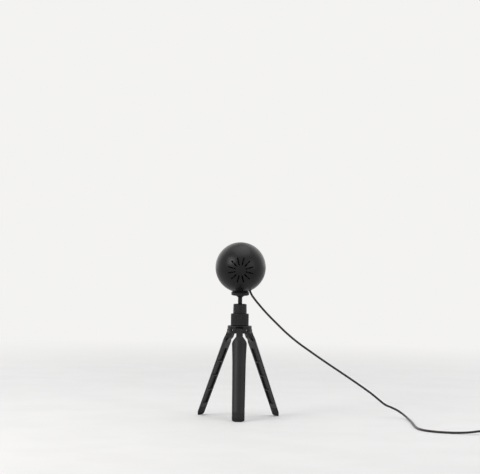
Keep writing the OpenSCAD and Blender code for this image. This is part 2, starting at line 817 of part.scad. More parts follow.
module reflector() {
    mouth = flange_back - cup_rim_t;
    color("#d5d7da") in_beam() rotate_extrude() polygon([
        [cup_neck_r, board_top + loose], [cup_neck_r + cup_wall, board_top + loose],
        [cup_neck_r + cup_wall, cup_neck_top], [cup_mouth_r + cup_wall, mouth],
        [reflector_r, mouth], [reflector_r, flange_back], [cup_mouth_r, flange_back],
        [cup_neck_r, cup_neck_top + 0.6]
    ]);
}

module led_chip() {
    color("#f2d34a") in_beam() translate([0, 0, board_top]) {
        cylinder(d = chip_d, h = chip_base_t);
        intersection() {
            translate([0, 0, chip_base_t / 2]) cylinder(d = chip_d - 1.6, h = chip_dome + 1);
            translate([0, 0, chip_base_t + chip_dome - chip_d]) sphere(r = chip_d);
        }
    }
}

module led_board() {
    color("#e9e9e4") in_beam() translate([0, 0, sink_front]) difference() {
        cylinder(d = led_board_d, h = led_board_t);
        for (x = [-led_screw_x, led_screw_x]) translate([x, 0, -eps])
            cylinder(r = led_screw_r + loose, h = led_board_t + 2 * eps);
    }
}

module led_screws() {
    color("#b9bbbf") in_beam() for (x = [-led_screw_x, led_screw_x]) {
        translate([x, 0, board_top]) cylinder(r = led_screw_head_r, h = led_screw_head_h);
        translate([x, 0, sink_front - led_screw_deep])
            cylinder(r = led_screw_r, h = led_screw_deep + led_board_t + led_screw_head_h / 2);
    }
}

// Two short wires that hop from the driver board to the light source's board
module led_wires() {
    color("#b0302a") in_beam() for (y = [-wire_y, wire_y])
        translate([driver_x + 0.5 - wire_span / 2, y, driver_top]) {
            rotate([90, 0, 0]) rotate_extrude(angle = 180)
                translate([wire_span / 2, 0]) circle(r = wire_r, $fn = 24);
            translate([-wire_span / 2, 0, board_top - driver_top])
                cylinder(r = wire_r, h = driver_top - board_top, $fn = 24);
        }
}

// ---------------------------------------------------------------- cooling, frame and driver

module heat_sink() {
    color("#222226") in_beam() difference() {
        union() {
            translate([0, 0, sink_front - sink_t]) cylinder(r = sink_r, h = sink_t);
            intersection() {
                sphere(r = dome_r - fin_clear, $fn = 160);
                for (i = [0 : fin_count - 1])
                    translate([(i - (fin_count - 1) / 2) * fin_pitch - fin_t / 2, -head_r, -head_r])
                        cube([fin_t, head_d, head_r + sink_front - sink_t / 2]);
            }
            for (p = pillar_places)
                translate([p[0], p[1], sink_front - 1]) cylinder(r = pillar_r, h = pillar_h + 1);
        }
        for (x = [-led_screw_x, led_screw_x]) translate([x, 0, sink_front - led_screw_deep - play])
            cylinder(r = led_screw_r + fit, h = sink_t);
        for (a = post_angles) rotate([0, 0, a])
            translate([post_circle, 0, sink_front - screw_reach - play])
                cylinder(r = screw_r + fit, h = sink_t);
    }
}

pillar_places = [
    [driver_x + 2, driver_y + 2], [driver_x + driver_size[0] - 2.5, driver_y + driver_size[1] - 2]
];

module spacer_posts() {
    color("#c4b078") in_beam() for (a = post_angles) rotate([0, 0, a])
        translate([post_circle, 0, sink_front]) ring(post_d / 2, screw_r + loose, post_l);
}

module frame_screws() {
    color("#b9bbbf") in_beam() for (a = post_angles) rotate([0, 0, a])
        translate([post_circle, 0, 0]) {
            translate([0, 0, flange_front]) cylinder(r = screw_head_r, h = screw_head_h);
            translate([0, 0, sink_front - screw_reach])
                cylinder(r = screw_r, h = flange_front + sink_back + screw_reach + screw_head_h / 2);
        }
}

module driver_board() {
    color("#1f6b3f") in_beam() translate([driver_x, driver_y, driver_z]) cube(driver_size);
}

module driver_parts() {
    color("#3b3b3e") in_beam() {
        translate([socket_x, socket_y, driver_top]) cube(socket_size);
        translate([driver_x + inductor[0], driver_y + inductor[1], driver_top])
            cylinder(r = inductor_size[0], h = inductor_size[1]);
        translate([driver_x + converter[0], driver_y + converter[1], driver_top])
            cube(converter_size);
        translate([driver_x + capacitor[0], driver_y + capacitor[1], driver_top])
            cylinder(r = capacitor_size[0], h = capacitor_size[1]);
    }
}

// The lead inside the head, from the grommet's outer face to the socket on the board
module inner_lead() {
    plug_in = [socket_x + socket_size[0] / 2, socket_y + socket_size[1] + fit,
        driver_top + cord_r + loose];
    way = concat(
        [for (r = [exit_r, head_r - 1.5, bore_r - 2, bore_r - 4.5]) r * cord_way],
        inner_route, [for (k = [2 : -1 : 0]) plug_in + [0, k * cord_r, 0]]
    );
    color("#141415") in_beam() tube(smooth(way, 2), cord_r, 8);
}

module cord_grommet() {
    color("#101011") in_head() rotate([0, 180 - cord_angle, 0]) rotate_extrude() polygon([
        [cord_r + fit, grommet_end], [grommet_lip_r - grommet_round, grommet_end],
        [grommet_lip_r, grommet_end + grommet_round], [grommet_lip_r, grommet_seat],
        [grommet_neck_r, grommet_seat], [grommet_neck_r, exit_r - grommet_round],
        [grommet_neck_r - grommet_round, exit_r], [cord_r + fit, exit_r]
    ]);
}

// ---------------------------------------------------------------- lead, switch and plug

lead = smooth(lead_route, 2);

module cord_top() {
    color("#141415") tube(lead, cord_r, 8, 0, 2 * top_end);
}

module cord_drop() {
    color("#141415") tube(lead, cord_r, 8, 2 * top_end, 2 * drop_end);
}

module cord_run() {
    color("#141415") tube(lead, cord_r, 8, 2 * drop_end);
}

module cord_feed() {
    color("#141415") tube(feed_route, cord_r, 8);
}

module cord_tail() {
    color("#141415") tube(tail_route, cord_r, 8);
}

module at_switch() {
    translate([switch_x, switch_y, 0]) children();
}

module bushing_holes() {
    translate([-switch_l, 0, switch_h_low]) rotate([0, 90, 0])
        cylinder(r = cord_r + 0.5, h = 2 * switch_l);
}

module switch_bosses(r, bottom, top) {
    for (s = [-1, 1]) translate([s * boss_x, s * boss_y, bottom]) cylinder(r = r, h = top - bottom);
}

module switch_case_bottom() {
    color("#17171a") at_switch() difference() {
        slab(switch_l, switch_w, switch_h_low, 4);
        translate([0, 0, switch_seat])
            slab(switch_l - 2 * switch_wall, switch_w - 2 * switch_wall, switch_h_low, 2.2);
        bushing_holes();
        switch_bosses(1, -eps, switch_seat + eps);
        switch_bosses(2, -eps, 1);
    }
}

module switch_case_top() {
    top = switch_h_low + switch_h_up;
    roof = 1.2;
    color("#17171a") at_switch() difference() {
        union() {
            difference() {
                translate([0, 0, switch_h_low]) union() {
                    slab(switch_l, switch_w, switch_h_up - 0.8, 4);
                    slab(switch_l - 1.6, switch_w - 1.6, switch_h_up, 3.2);
                }
                translate([0, 0, switch_h_low - eps]) slab(switch_l - 2 * switch_wall,
                    switch_w - 2 * switch_wall, switch_h_up - roof + eps, 2.2);
            }
            switch_bosses(2.3, switch_seat + fit, top - roof + 0.1);
        }
        bushing_holes();
        switch_bosses(0.85, switch_seat - eps, top - roof - 1);
        translate([0, 0, switch_h_low]) slab(button_l + 2 * play, button_w + 2 * play, 2 * top, 3);
    }
}

module switch_screws() {
    color("#8d8f93") at_switch() {
        switch_bosses(1.9, loose, 0.95);
        switch_bosses(0.8, 0.9, switch_h_low + 2);
    }
}

module switch_bushings() {
    wall_in = switch_l / 2 - switch_wall;
    color("#101011") at_switch() for (side = [0, 180]) rotate([0, 0, side])
        translate([0, 0, switch_h_low]) rotate([0, 90, 0]) rotate_extrude() polygon([
            [0, wall_in - 1.3], [cord_r + 1.2, wall_in - 1.3], [cord_r + 1.2, wall_in - loose],
            [cord_r + 0.45, wall_in - loose], [cord_r + 0.45, switch_l / 2 + loose],
            [cord_r + 1.2, switch_l / 2 + loose], [cord_r + 1.2, switch_l / 2 + 1.5],
            [cord_r + 0.2, switch_l / 2 + bushing_l], [0, switch_l / 2 + bushing_l]
        ]);
}

// The push switch on its board: board, body and plunger
module switch_board() {
    stem_top = switch_h_low + switch_h_up - 4;
    color("#1f6b3f") at_switch() translate([0, 0, switch_seat]) {
        slab(switch_board_size[0], switch_board_size[1], switch_board_size[2], 1);
        translate([-push_switch_w / 2, -push_switch_w / 2, switch_board_size[2]])
            cube([push_switch_w, push_switch_w, push_switch_h]);
        translate([0, 0, push_switch_h])
            cylinder(r = 1.6, h = stem_top - switch_seat - push_switch_h);
    }
}

module switch_button() {
    top = switch_h_low + switch_h_up;
    under_roof = top - 1.2 - loose;
    color("#2c2c30") at_switch() {
        translate([0, 0, under_roof - 1])
            slab(button_l, button_w, top + button_h - under_roof + 0.6, 2.8);
        translate([0, 0, top + button_h - 0.6])
            slab(button_l - 1, button_w - 1, 0.6, 2.3);
        translate([0, 0, under_roof - 1]) slab(button_l + 2, button_w + 2, 1, 3);
        translate([0, 0, top - 4 + button_travel + fit])
            cylinder(r = 2, h = under_roof - top + 4 - button_travel - 0.5);
    }
}

// Turns of the coil: in along the lower layer and out again along the upper one
coil_sweep = 360 * coil_turns;
function coil_radius(a) = coil_r - coil_pitch * min(a, coil_sweep - a) / 360;
function coil_height(a) =
    let (climb = min(1, max(0, (a - coil_sweep / 2 + 90) / 180)))
    coil_low + (coil_high - coil_low) * climb * climb * (3 - 2 * climb);
coil_path = [
    for (i = [0 : coil_rings * coil_turns])
        let (a = i * 360 / coil_rings)
        [coil_x + coil_radius(a) * cos(a), coil_y + coil_radius(a) * sin(a), coil_height(a)]
];
coil_line = concat([coil_path[0] - [0, cord_d, 0]], coil_path,
    [coil_path[len(coil_path) - 1] + [0, cord_d, 0]]);
coil_least = min([
    for (i = [0 : len(coil_path) - 1])
        for (j = [i + 18 : 1 : len(coil_path) - 1]) norm(coil_path[i] - coil_path[j])
]) - coil_wire_d;
echo(coil_least_gap = coil_least);
echo(lead_length = length(lead) + length(feed_route) + length(coil_line) + length(tail_route));

module cord_coil() {
    color("#141415") tube(coil_line, coil_wire_d / 2, 6);
}

// A strap round all of the coil's turns
module coil_tie() {
    inner_w = coil_pitch * coil_turns / 2 + coil_wire_d + 0.75;
    inner_h = coil_high - coil_low + coil_wire_d + 0.3;
    middle = coil_r - coil_pitch * coil_turns / 4 - 0.15;
    color("#252528") translate([coil_x, coil_y, 0]) rotate([0, 0, tie_angle])
        translate([middle, 0, 0]) difference() {
            translate([-inner_w / 2 - tie_t, -tie_w / 2, 0])
                cube([inner_w + 2 * tie_t, tie_w, inner_h + 2 * tie_t]);
            translate([-inner_w / 2, -tie_w, tie_t]) cube([inner_w, 2 * tie_w, inner_h]);
        }
}

// Local +X runs from the lead towards the plug's mouth
module at_plug() {
    translate([plug_x, plug_y, plug_z]) rotate([0, 0, 180]) children();
}

module plug_boot() {
    step = boot_l / boot_rings;
    color("#151517") at_plug() rotate([0, 90, 0]) rotate_extrude() polygon(concat(
        [[0, 0]],
        [for (i = [0 : boot_rings - 1]) each [
            [cord_r + 0.5 + i * 0.22, i * step], [cord_r + 0.5 + i * 0.22, (i + 0.4) * step],
            [boot_r - 0.5 + i * 0.1, (i + 0.4) * step], [boot_r - 0.5 + i * 0.1, (i + 1) * step]
        ]],
        [[0, boot_l]]
    ));
}

module plug_body() {
    color("#151517") at_plug() translate([boot_l + grip_l / 2, 0, -grip_h / 2]) {
        translate([0, 0, 0.6]) slab(grip_l, grip_w, grip_h - 1.2, 2);
        slab(grip_l - 1.2, grip_w - 1.2, grip_h, 1.6);
    }
}

module usb_shell() {
    color("#c3c6ca") at_plug() translate([boot_l + grip_l, 0, 0]) difference() {
        translate([0, -usb_w / 2, -usb_h / 2]) cube([usb_l, usb_w, usb_h]);
        translate([-eps, -usb_w / 2 + usb_wall, -usb_h / 2 + usb_wall])
            cube([usb_l + 2 * eps, usb_w - 2 * usb_wall, usb_h - 2 * usb_wall]);
        for (y = [-1, 1]) translate([5, y * 2.6 - usb_window / 2, 0])
            cube([usb_window, usb_window, usb_h]);
    }
}

module usb_tongue() {
    width = usb_w - 2 * usb_wall - 2 * loose;
    color("#e8e8e8") at_plug()
        translate([boot_l + grip_l, -width / 2, -usb_h / 2 + usb_wall + fit])
            cube([usb_l - 1, width, tongue_h]);
}

module usb_contacts() {
    color("#c9a14a") at_plug() for (i = [-1.5 : 1 : 1.5])
        translate([boot_l + grip_l + 1.5, i * 2.4 - contact_size[1] / 2,
            -usb_h / 2 + usb_wall + fit + tongue_h]) cube(contact_size);
}

// ---------------------------------------------------------------- the pieces, one by one

hub();
socket_cup();
leg_pins();
leg_washers();
lock_collar();
brake_pad();
brake_pin();
ball_seat();
ball_stud();
mount_plate();
plate_pad();
threaded_insert();
rear_shell();
front_shell();
lens_bezel();
lens_gasket();
projection_lens();
lens_tube();
colour_filter();
filter_ring();
reflector();
led_chip();
led_board();
led_screws();
led_wires();
heat_sink();
spacer_posts();
frame_screws();
driver_board();
driver_parts();
inner_lead();
cord_grommet();
leg(front_az);  // leg_front
leg(right_az);  // leg_right
leg(left_az);  // leg_left
foot(front_az);  // foot_front
foot(right_az);  // foot_right
foot(left_az);  // foot_left
cord_top();
cord_drop();
cord_run();
switch_case_bottom();
switch_case_top();
switch_button();
switch_board();
switch_screws();
switch_bushings();
cord_feed();
cord_coil();
coil_tie();
cord_tail();
plug_boot();
plug_body();
usb_shell();
usb_tongue();
usb_contacts();
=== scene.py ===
"""Projection lamp on a small tripod: finishes, lead and fittings round its fixed frame.

Metres, in the frame's own axes: +Z is up, the feet stand on Z = 0 and the lens looks towards +Y.
"""
import json
from math import pi, radians, sqrt

import bmesh
import bpy
import numpy as np
from mathutils import Euler, Matrix, Vector


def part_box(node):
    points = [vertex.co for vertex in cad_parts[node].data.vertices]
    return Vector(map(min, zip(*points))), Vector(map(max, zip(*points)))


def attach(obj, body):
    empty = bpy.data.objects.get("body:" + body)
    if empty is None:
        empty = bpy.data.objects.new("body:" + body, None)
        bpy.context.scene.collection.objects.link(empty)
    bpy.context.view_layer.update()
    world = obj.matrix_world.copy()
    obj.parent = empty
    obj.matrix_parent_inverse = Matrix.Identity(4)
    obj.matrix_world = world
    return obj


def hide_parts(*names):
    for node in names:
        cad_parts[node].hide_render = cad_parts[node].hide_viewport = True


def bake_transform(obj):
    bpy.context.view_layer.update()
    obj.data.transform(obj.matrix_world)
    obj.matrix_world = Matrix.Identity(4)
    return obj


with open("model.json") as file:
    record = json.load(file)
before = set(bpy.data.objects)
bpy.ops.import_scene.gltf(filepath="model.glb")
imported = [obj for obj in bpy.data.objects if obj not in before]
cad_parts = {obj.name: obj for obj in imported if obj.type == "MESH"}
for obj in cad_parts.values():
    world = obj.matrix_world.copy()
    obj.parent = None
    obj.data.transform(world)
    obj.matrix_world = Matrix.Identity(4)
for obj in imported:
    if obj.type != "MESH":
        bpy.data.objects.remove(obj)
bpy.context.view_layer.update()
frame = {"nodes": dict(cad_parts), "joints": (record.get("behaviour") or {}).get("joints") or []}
cad = frame["nodes"]
MM = 0.001

# ---------------- places read from the frame

joints = {j["name"]: j for j in frame["joints"]}
BALL = Vector(joints["ball_tilt"]["pos_m"])
AXIS_Y = BALL.y
REST_TILT = radians(6)
HEAD_R = 35 * MM
PAD_TOP = 24.6 * MM            # top of the pad above the ball's centre, along the neck
FLAT_R = 10.5 * MM             # radius of the flat under the head
HEAD_UP = PAD_TOP + sqrt(HEAD_R ** 2 - FLAT_R ** 2)

# The beam's own frame: its Z runs forward from the head's centre and its Y points down
BEAM = (
    Matrix.Translation(BALL) @ Matrix.Rotation(REST_TILT, 4, "X")
    @ Matrix.Translation((0, 0, HEAD_UP)) @ Matrix.Rotation(-pi / 2, 4, "X")
)
STAND = Matrix.Translation((0, AXIS_Y, 0))

# ---------------- camera

PHOTO_WIDTH_PX = 480
FOCAL_PX = 1793                # focal length, in pixels of the photograph
FILM_WIDTH = 36                # in millimetres, as the camera's own focal length is
CAMERA_BACK = 2.5              # from the tripod's middle to the camera
CAMERA_SIDE = -1.6 * MM
CAMERA_HEIGHT = 252.7 * MM
CAMERA_DIP = radians(0.029)
CAMERA_ROLL = radians(0.95)
CAMERA_RANGE = 0.05, 100       # nearest and farthest distance it shows


def place_camera():
    """The camera stands behind the lamp, whose lens looks away from it, at the photograph's height,
    dip and roll."""
    lens = bpy.data.cameras.new("camera")
    lens.sensor_fit = "HORIZONTAL"
    lens.sensor_width = FILM_WIDTH
    lens.lens = FILM_WIDTH * FOCAL_PX / PHOTO_WIDTH_PX
    lens.clip_start, lens.clip_end = CAMERA_RANGE
    camera = bpy.data.objects.new("camera", lens)
    bpy.context.scene.collection.objects.link(camera)
    camera.location = (CAMERA_SIDE, AXIS_Y - CAMERA_BACK, CAMERA_HEIGHT)
    level = Euler((pi / 2 - CAMERA_DIP, 0, 0)).to_matrix()
    camera.rotation_euler = (level @ Matrix.Rotation(CAMERA_ROLL, 3, "Z")).to_euler()
    bpy.context.scene.camera = camera


place_camera()

# ---------------- surfaces from grids

SAME_POINT = 1e-7              # points this close are one


def mesh_object(name, points, faces, smooth=True):
    """An object from points and faces, with doubled points merged and its faces turned outwards."""
    mesh = bpy.data.meshes.new(name)
    mesh.from_pydata(points.tolist(), [], faces.tolist())
    work = bmesh.new()
    work.from_mesh(mesh)
    bmesh.ops.remove_doubles(work, verts=work.verts, dist=SAME_POINT)
    bmesh.ops.dissolve_degenerate(work, edges=work.edges, dist=SAME_POINT)
    bmesh.ops.recalc_face_normals(work, faces=work.faces)
    work.to_mesh(mesh)
    work.free()
    mesh.polygons.foreach_set("use_smooth", np.full(len(mesh.polygons), smooth))
    made = bpy.data.objects.new(name, mesh)
    bpy.context.scene.collection.objects.link(made)
    return made


def grid_object(name, grid, close_rows=False):
    """A surface of quads between neighbouring points of a grid, rows first. The last column always
    joins the first, and the last row does where close_rows says so."""
    rows, columns = grid.shape[:2]
    i = np.arange(rows if close_rows else rows - 1)[:, None]
    j = np.arange(columns)[None, :]
    below, beside = (i + 1) % rows, (j + 1) % columns
    corners = (i * columns + j, i * columns + beside, below * columns + beside, below * columns + j)
    faces = np.stack([np.broadcast_to(c, (len(i), columns)).ravel() for c in corners], axis=1)
    return mesh_object(name, grid.reshape(-1, 3), faces)


def capped(grid, first, last):
    """The grid between two poles: a row of one point before its first row and after its last."""
    poles = [np.repeat(np.reshape(end, (1, 1, 3)), grid.shape[1], axis=1) for end in (first, last)]
    return np.concatenate([poles[0], grid, poles[1]])


def place(piece, matrix):
    """Moves a piece's points into place and leaves its object at the origin."""
    piece.data.transform(matrix)
    return piece


def rounded(profile, radius, steps):
    """A closed outline whose corners become arcs: each corner is cut back by its radius along both
    sides, and a quadratic curve through the corner's control point joins the two cuts."""
    corners = np.asarray(profile, float)
    radii = np.broadcast_to(np.asarray(radius, float), len(corners))
    before = np.roll(corners, 1, axis=0) - corners
    after = np.roll(corners, -1, axis=0) - corners
    reach_b, reach_a = np.linalg.norm(before, axis=1), np.linalg.norm(after, axis=1)
    cut = np.minimum(radii, 0.49 * np.minimum(reach_b, reach_a))
    start = (corners + before * (cut / reach_b)[:, None])[:, None]
    end = (corners + after * (cut / reach_a)[:, None])[:, None]
    t = np.linspace(0, 1, steps + 1)[None, :, None]
    curve = start * (1 - t) ** 2 + corners[:, None] * 2 * t * (1 - t) + end * t ** 2
    return curve.reshape(-1, 2)


def around(count):
    """Angles evenly round one turn, as one row of a grid."""
    return np.linspace(0, 2 * pi, count, endpoint=False)[None, :]


def ring_grid(radius, angle, height):
    """Points round Z: a row for each radius and height, a column for each angle."""
    return np.stack([radius * np.cos(angle), radius * np.sin(angle), height + 0 * angle], axis=2)


def turned(name, profile, steps, ripple=None, closed=True):
    """A solid of revolution about Z from (radius, height) pairs. ripple(angle, radius, height) is
    added to the radius, which gives flutes, ribs and facets."""
    profile = np.asarray(profile, float)
    angle = around(steps)
    radius, height = profile[:, :1], profile[:, 1:2]
    full = radius + (ripple(angle, radius, height) if ripple else 0 * angle)
    return grid_object(name, ring_grid(full, angle, height), close_rows=closed)


def smoothstep(low, high, value):
    """0 below low, 1 above high, and a smooth cubic between."""
    t = np.clip((value - low) / (high - low), 0, 1)
    return t * t * (3 - 2 * t)


def join(name, parts):
    """One object from several, as a maker's set of alike pieces."""
    with bpy.context.temp_override(active_object=parts[0], selected_editable_objects=parts):
        bpy.ops.object.join()
    parts[0].name = parts[0].data.name = name
    return parts[0]


# ---------------- the lead

LEAD_D = 3 * MM
LEAD_STEP = 1.1 * MM           # from one ring of the lead to the next
LEAD_SIDES = 18
SPAN_POINTS = 14               # points of the curve from one point of a route to the next
BATCH = 2000                   # points of a lead's surface that are measured at a time

LEAD_ROUTE = np.array([
    (0.0136, 0.0105, 0.1764), (0.0148, 0.0108, 0.1736), (0.0168, 0.0111, 0.1699),
    (0.0225, 0.0121, 0.1624), (0.0280, 0.0130, 0.1560), (0.0345, 0.0140, 0.1487),
    (0.0415, 0.0152, 0.1414), (0.0530, 0.0171, 0.1302), (0.0660, 0.0192, 0.1180),
    (0.0820, 0.0218, 0.1050), (0.1020, 0.0250, 0.0910), (0.1230, 0.0285, 0.0768),
    (0.1460, 0.0322, 0.0618), (0.1680, 0.0358, 0.0472), (0.1880, 0.0390, 0.0332),
    (0.2055, 0.0423, 0.0193), (0.2156, 0.0438, 0.0146), (0.2244, 0.0420, 0.0106),
    (0.2320, 0.0335, 0.0058), (0.2366, 0.0190, 0.0023), (0.2376, 0.0040, 0.00158),
    (0.2380, -0.0120, 0.00152), (0.2380, -0.0330, 0.0015), (0.2377, -0.0560, 0.0015),
    (0.2374, -0.0800, 0.0015), (0.2382, -0.1030, 0.0015), (0.2420, -0.1220, 0.0015),
    (0.2505, -0.1380, 0.0015), (0.2640, -0.1490, 0.0015), (0.2810, -0.1550, 0.0016),
    (0.2980, -0.1575, 0.0024), (0.3110, -0.1580, 0.0040), (0.3170, -0.1580, 0.0048),
    (0.3220, -0.1580, 0.0049),
])
TOP_END = 6                    # last point of the stretch that follows the head
DROP_END = 20                  # last point of the stretch in the air
FEED_ROUTE = np.array([
    (0.3900, -0.1580, 0.0049), (0.3915, -0.1580, 0.0049), (0.3950, -0.1571, 0.0045),
    (0.3980, -0.1547, 0.0038), (0.3996, -0.1508, 0.0030), (0.4000, -0.1455, 0.0023),
    (0.4000, -0.1380, 0.0021), (0.4000, -0.1295, 0.0021), (0.4000, -0.1210, 0.0021),
])
TAIL_ROUTE = np.array([
    (0.4000, -0.1150, 0.00525), (0.4000, -0.1135, 0.00525), (0.4000, -0.1080, 0.0045),
    (0.3996, -0.1020, 0.0031), (0.3982, -0.0955, 0.0020), (0.3952, -0.0890, 0.0016),
    (0.3910, -0.0837, 0.0022), (0.3870, -0.0810, 0.0034), (0.3840, -0.0800, 0.0040),
    (0.3820, -0.0800, 0.0040),
])
COIL_X, COIL_Y = 377.5 * MM, -118 * MM
COIL_R = 22.5 * MM
COIL_TURNS, COIL_POINTS = 7, 60                # turns, and points a turn
COIL_PITCH = 3.15 * MM
COIL_LOW = 2.1 * MM
COIL_HIGH = COIL_LOW + COIL_PITCH


def smooth_route(points):
    """The Catmull-Rom cubic through the points, with each end point doubled."""
    padded = np.vstack([points[:1], points, points[-1:]])
    a, b, c, d = (padded[k:len(padded) - 3 + k, None] for k in range(4))
    t = np.arange(SPAN_POINTS)[None, :, None] / SPAN_POINTS
    square, cube = 2 * a - 5 * b + 4 * c - d, 3 * b - a - 3 * c + d
    curve = 0.5 * (2 * b + (c - a) * t + square * t ** 2 + cube * t ** 3)
    return np.vstack([curve.reshape(-1, 3), points[-1:]])


def measure(path):
    """Distance along a path at each of its points."""
    return np.concatenate([[0], np.cumsum(np.linalg.norm(np.diff(path, axis=0), axis=1))])


def even(path, step):
    """The same path with points an equal distance apart."""
    along = measure(path)
    count = max(8, int(along[-1] / step)) + 1
    marks = np.linspace(0, along[-1], count)
    return np.stack([np.interp(marks, along, path[:, k]) for k in range(3)], axis=1)


def coil_path():
    """The coil: its radius falls by a pitch a turn to the middle of its length and grows again,
    and its height climbs one layer within the half turn round that middle."""
    sweep = 2 * pi * COIL_TURNS
    angle = np.linspace(0, sweep, COIL_POINTS * COIL_TURNS + 1)
    radius = COIL_R - COIL_PITCH * np.minimum(angle, sweep - angle) / (2 * pi)
    climb = smoothstep(sweep / 2 - pi / 2, sweep / 2 + pi / 2, angle)
    x, y = COIL_X + radius * np.cos(angle), COIL_Y + radius * np.sin(angle)
    return np.stack([x, y, COIL_LOW + (COIL_HIGH - COIL_LOW) * climb], axis=1)


def headings(path):
    """Unit directions along a path."""
    way = np.gradient(path, axis=0)
    return way / np.linalg.norm(way, axis=1, keepdims=True)


def ring_axes(way):
    """Two unit lines across each heading: a level one, which is the heading crossed with the
    upright line, and one square to both."""
    level = np.cross(way, (0, 0, 1))
    level /= np.linalg.norm(level, axis=1, keepdims=True)
    return level, np.cross(level, way)


def tube(name, path, way):
    """The lead's circle carried along a path, square to its headings. The ends close on their own
    middle, and the UV map runs along and round the lead."""
    level, upright = ring_axes(way)
    turn = around(LEAD_SIDES)[..., None]
    ring = np.cos(turn) * level[:, None] + np.sin(turn) * upright[:, None]
    made = grid_object(name, capped(path[:, None] + LEAD_D / 2 * ring, path[0], path[-1]))
    map_along(made.data, path)
    return made


def whole_numbers(items, key):
    """One whole number for each corner or face of a mesh."""
    values = np.empty(len(items), int)
    items.foreach_get(key, values)
    return values


def map_along(mesh, path):
    """UV map of a tube: U is the distance along its path in metres and V the share of a turn round
    it. In a face that crosses the seam, V goes on past 1."""
    points = np.empty(len(mesh.vertices) * 3)
    mesh.vertices.foreach_get("co", points)
    points = points.reshape(-1, 3)
    nearest = np.concatenate([
        np.argmin(((points[k:k + BATCH, None] - path[None]) ** 2).sum(axis=2), axis=1)
        for k in range(0, len(points), BATCH)
    ])
    level, upright = (axis[nearest] for axis in ring_axes(headings(path)))
    out = points - path[nearest]
    share = np.arctan2((out * upright).sum(axis=1), (out * level).sum(axis=1)) / (2 * pi) + 0.5
    corners = whole_numbers(mesh.loops, "vertex_index")
    value = np.stack([measure(path)[nearest], share], axis=1)[corners]
    faces = len(mesh.polygons)
    owner = np.repeat(np.arange(faces), whole_numbers(mesh.polygons, "loop_total"))
    highest = np.full(faces, -1.0)
    np.maximum.at(highest, owner, value[:, 1])
    value[:, 1] += (highest[owner] - value[:, 1]) > 0.5
    mesh.uv_layers.new(name="along").data.foreach_set("uv", value.ravel())


def lay_cords():
    """The four stretches of the lead, each over the frame's own solids: object and path by name."""
    curve = smooth_route(LEAD_ROUTE)
    marks = [0, TOP_END * SPAN_POINTS, DROP_END * SPAN_POINTS, len(curve) - 1]
    way = headings(curve)
    made = {}
    for name, node, first, last in (
        ("lead_top", "cord_top", marks[0], marks[1]),
        ("lead_drop", "cord_drop", marks[1], marks[2]),
        ("lead_run", "cord_run", marks[2], marks[3]),
    ):
        path = even(curve[first:last + 1], LEAD_STEP)
        ends = headings(path)
        ends[0], ends[-1] = way[first], way[last]
        made[name] = (tube(name, path, ends), path)
        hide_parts(node)
    store = np.vstack([smooth_route(FEED_ROUTE), coil_path(), smooth_route(TAIL_ROUTE)])
    store = even(store, LEAD_STEP)
    made["lead_store"] = (tube("lead_store", store, headings(store)), store)
    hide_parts("cord_feed", "cord_coil", "cord_tail")
    return made


leads = lay_cords()
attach(leads["lead_run"][0], "stand")
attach(leads["lead_store"][0], "stand")
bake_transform(leads["lead_top"][0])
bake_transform(leads["lead_drop"][0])

# ---------------- turned and moulded pieces

COLLAR_R, COLLAR_BORE = 12.5 * MM, 8.1 * MM
COLLAR_EDGE, BORE_EDGE = 0.9 * MM, 0.3 * MM
FLUTES, FLUTE_DEPTH = 30, 0.42 * MM
WALL_END, FLUTE_END, FLUTE_FULL = 1.2 * MM, 1.4 * MM, 2.6 * MM     # all from the nearer rim


def finger_collar():
    """Locking collar: a ring whose outside dips at each flute by a raised cosine of the angle. The
    dips fade out towards both rims."""
    low, high = (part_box("lock_collar")[k][2] for k in (0, 1))
    arc = 5
    body = rounded([
        (COLLAR_BORE, low), (COLLAR_R, low), (COLLAR_R, high), (COLLAR_BORE, high),
    ], [BORE_EDGE, COLLAR_EDGE, COLLAR_EDGE, BORE_EDGE], arc)
    wall = np.linspace(low + WALL_END, high - WALL_END, 18)
    outside = np.column_stack([np.full(len(wall), COLLAR_R), wall])
    half = 2 * (arc + 1)
    profile = np.vstack([body[:half], outside, body[half:]])

    def ripple(angle, radius, height):
        fade = smoothstep(low + FLUTE_END, low + FLUTE_FULL, height)
        fade = fade * (1 - smoothstep(high - FLUTE_FULL, high - FLUTE_END, height))
        outer = radius > (COLLAR_R + COLLAR_BORE) / 2
        dip = (0.5 + 0.5 * np.cos(FLUTES * angle)) ** 1.5
        return -FLUTE_DEPTH * dip * fade * outer

    piece = place(turned("finger_collar", profile, FLUTES * 14, ripple), STAND)
    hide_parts("lock_collar")
    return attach(piece, "collar")


LENS_R, LENS_EDGE, LENS_CURVE = 20 * MM, 2.5 * MM, 36 * MM
FRONT_BEVEL, BACK_BEVEL = 0.15 * MM, 0.2 * MM
THREAD_R = 21.6 * MM
FACE_R = 23.4 * MM
FACE_Z = sqrt(HEAD_R ** 2 - FACE_R ** 2)
LENS_BACK = FACE_Z - 4 * MM


def lens_glass():
    """Plano-convex lens: a flat back, a short cylinder with ground bevels, and a spherical cap
    whose height over the edge is the sphere's own sag."""
    radius = np.append(np.linspace(0, 1, 40) ** 0.8 * (LENS_R - FRONT_BEVEL), LENS_R)
    at_edge = sqrt(LENS_CURVE ** 2 - LENS_R ** 2)
    cap = LENS_BACK + LENS_EDGE + np.sqrt(LENS_CURVE ** 2 - radius ** 2) - at_edge
    cap[-1] -= FRONT_BEVEL
    back = [(LENS_R, LENS_BACK + BACK_BEVEL), (LENS_R - BACK_BEVEL, LENS_BACK),
            (LENS_R / 2, LENS_BACK), (0, LENS_BACK)]
    profile = np.vstack([np.column_stack([radius, cap]), back])
    piece = place(turned("lens_glass", profile, 128, closed=False), BEAM)
    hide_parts("projection_lens")
    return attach(piece, "head")


BEZEL_RIBS, BEZEL_RIB_DEPTH = 90, 0.22 * MM


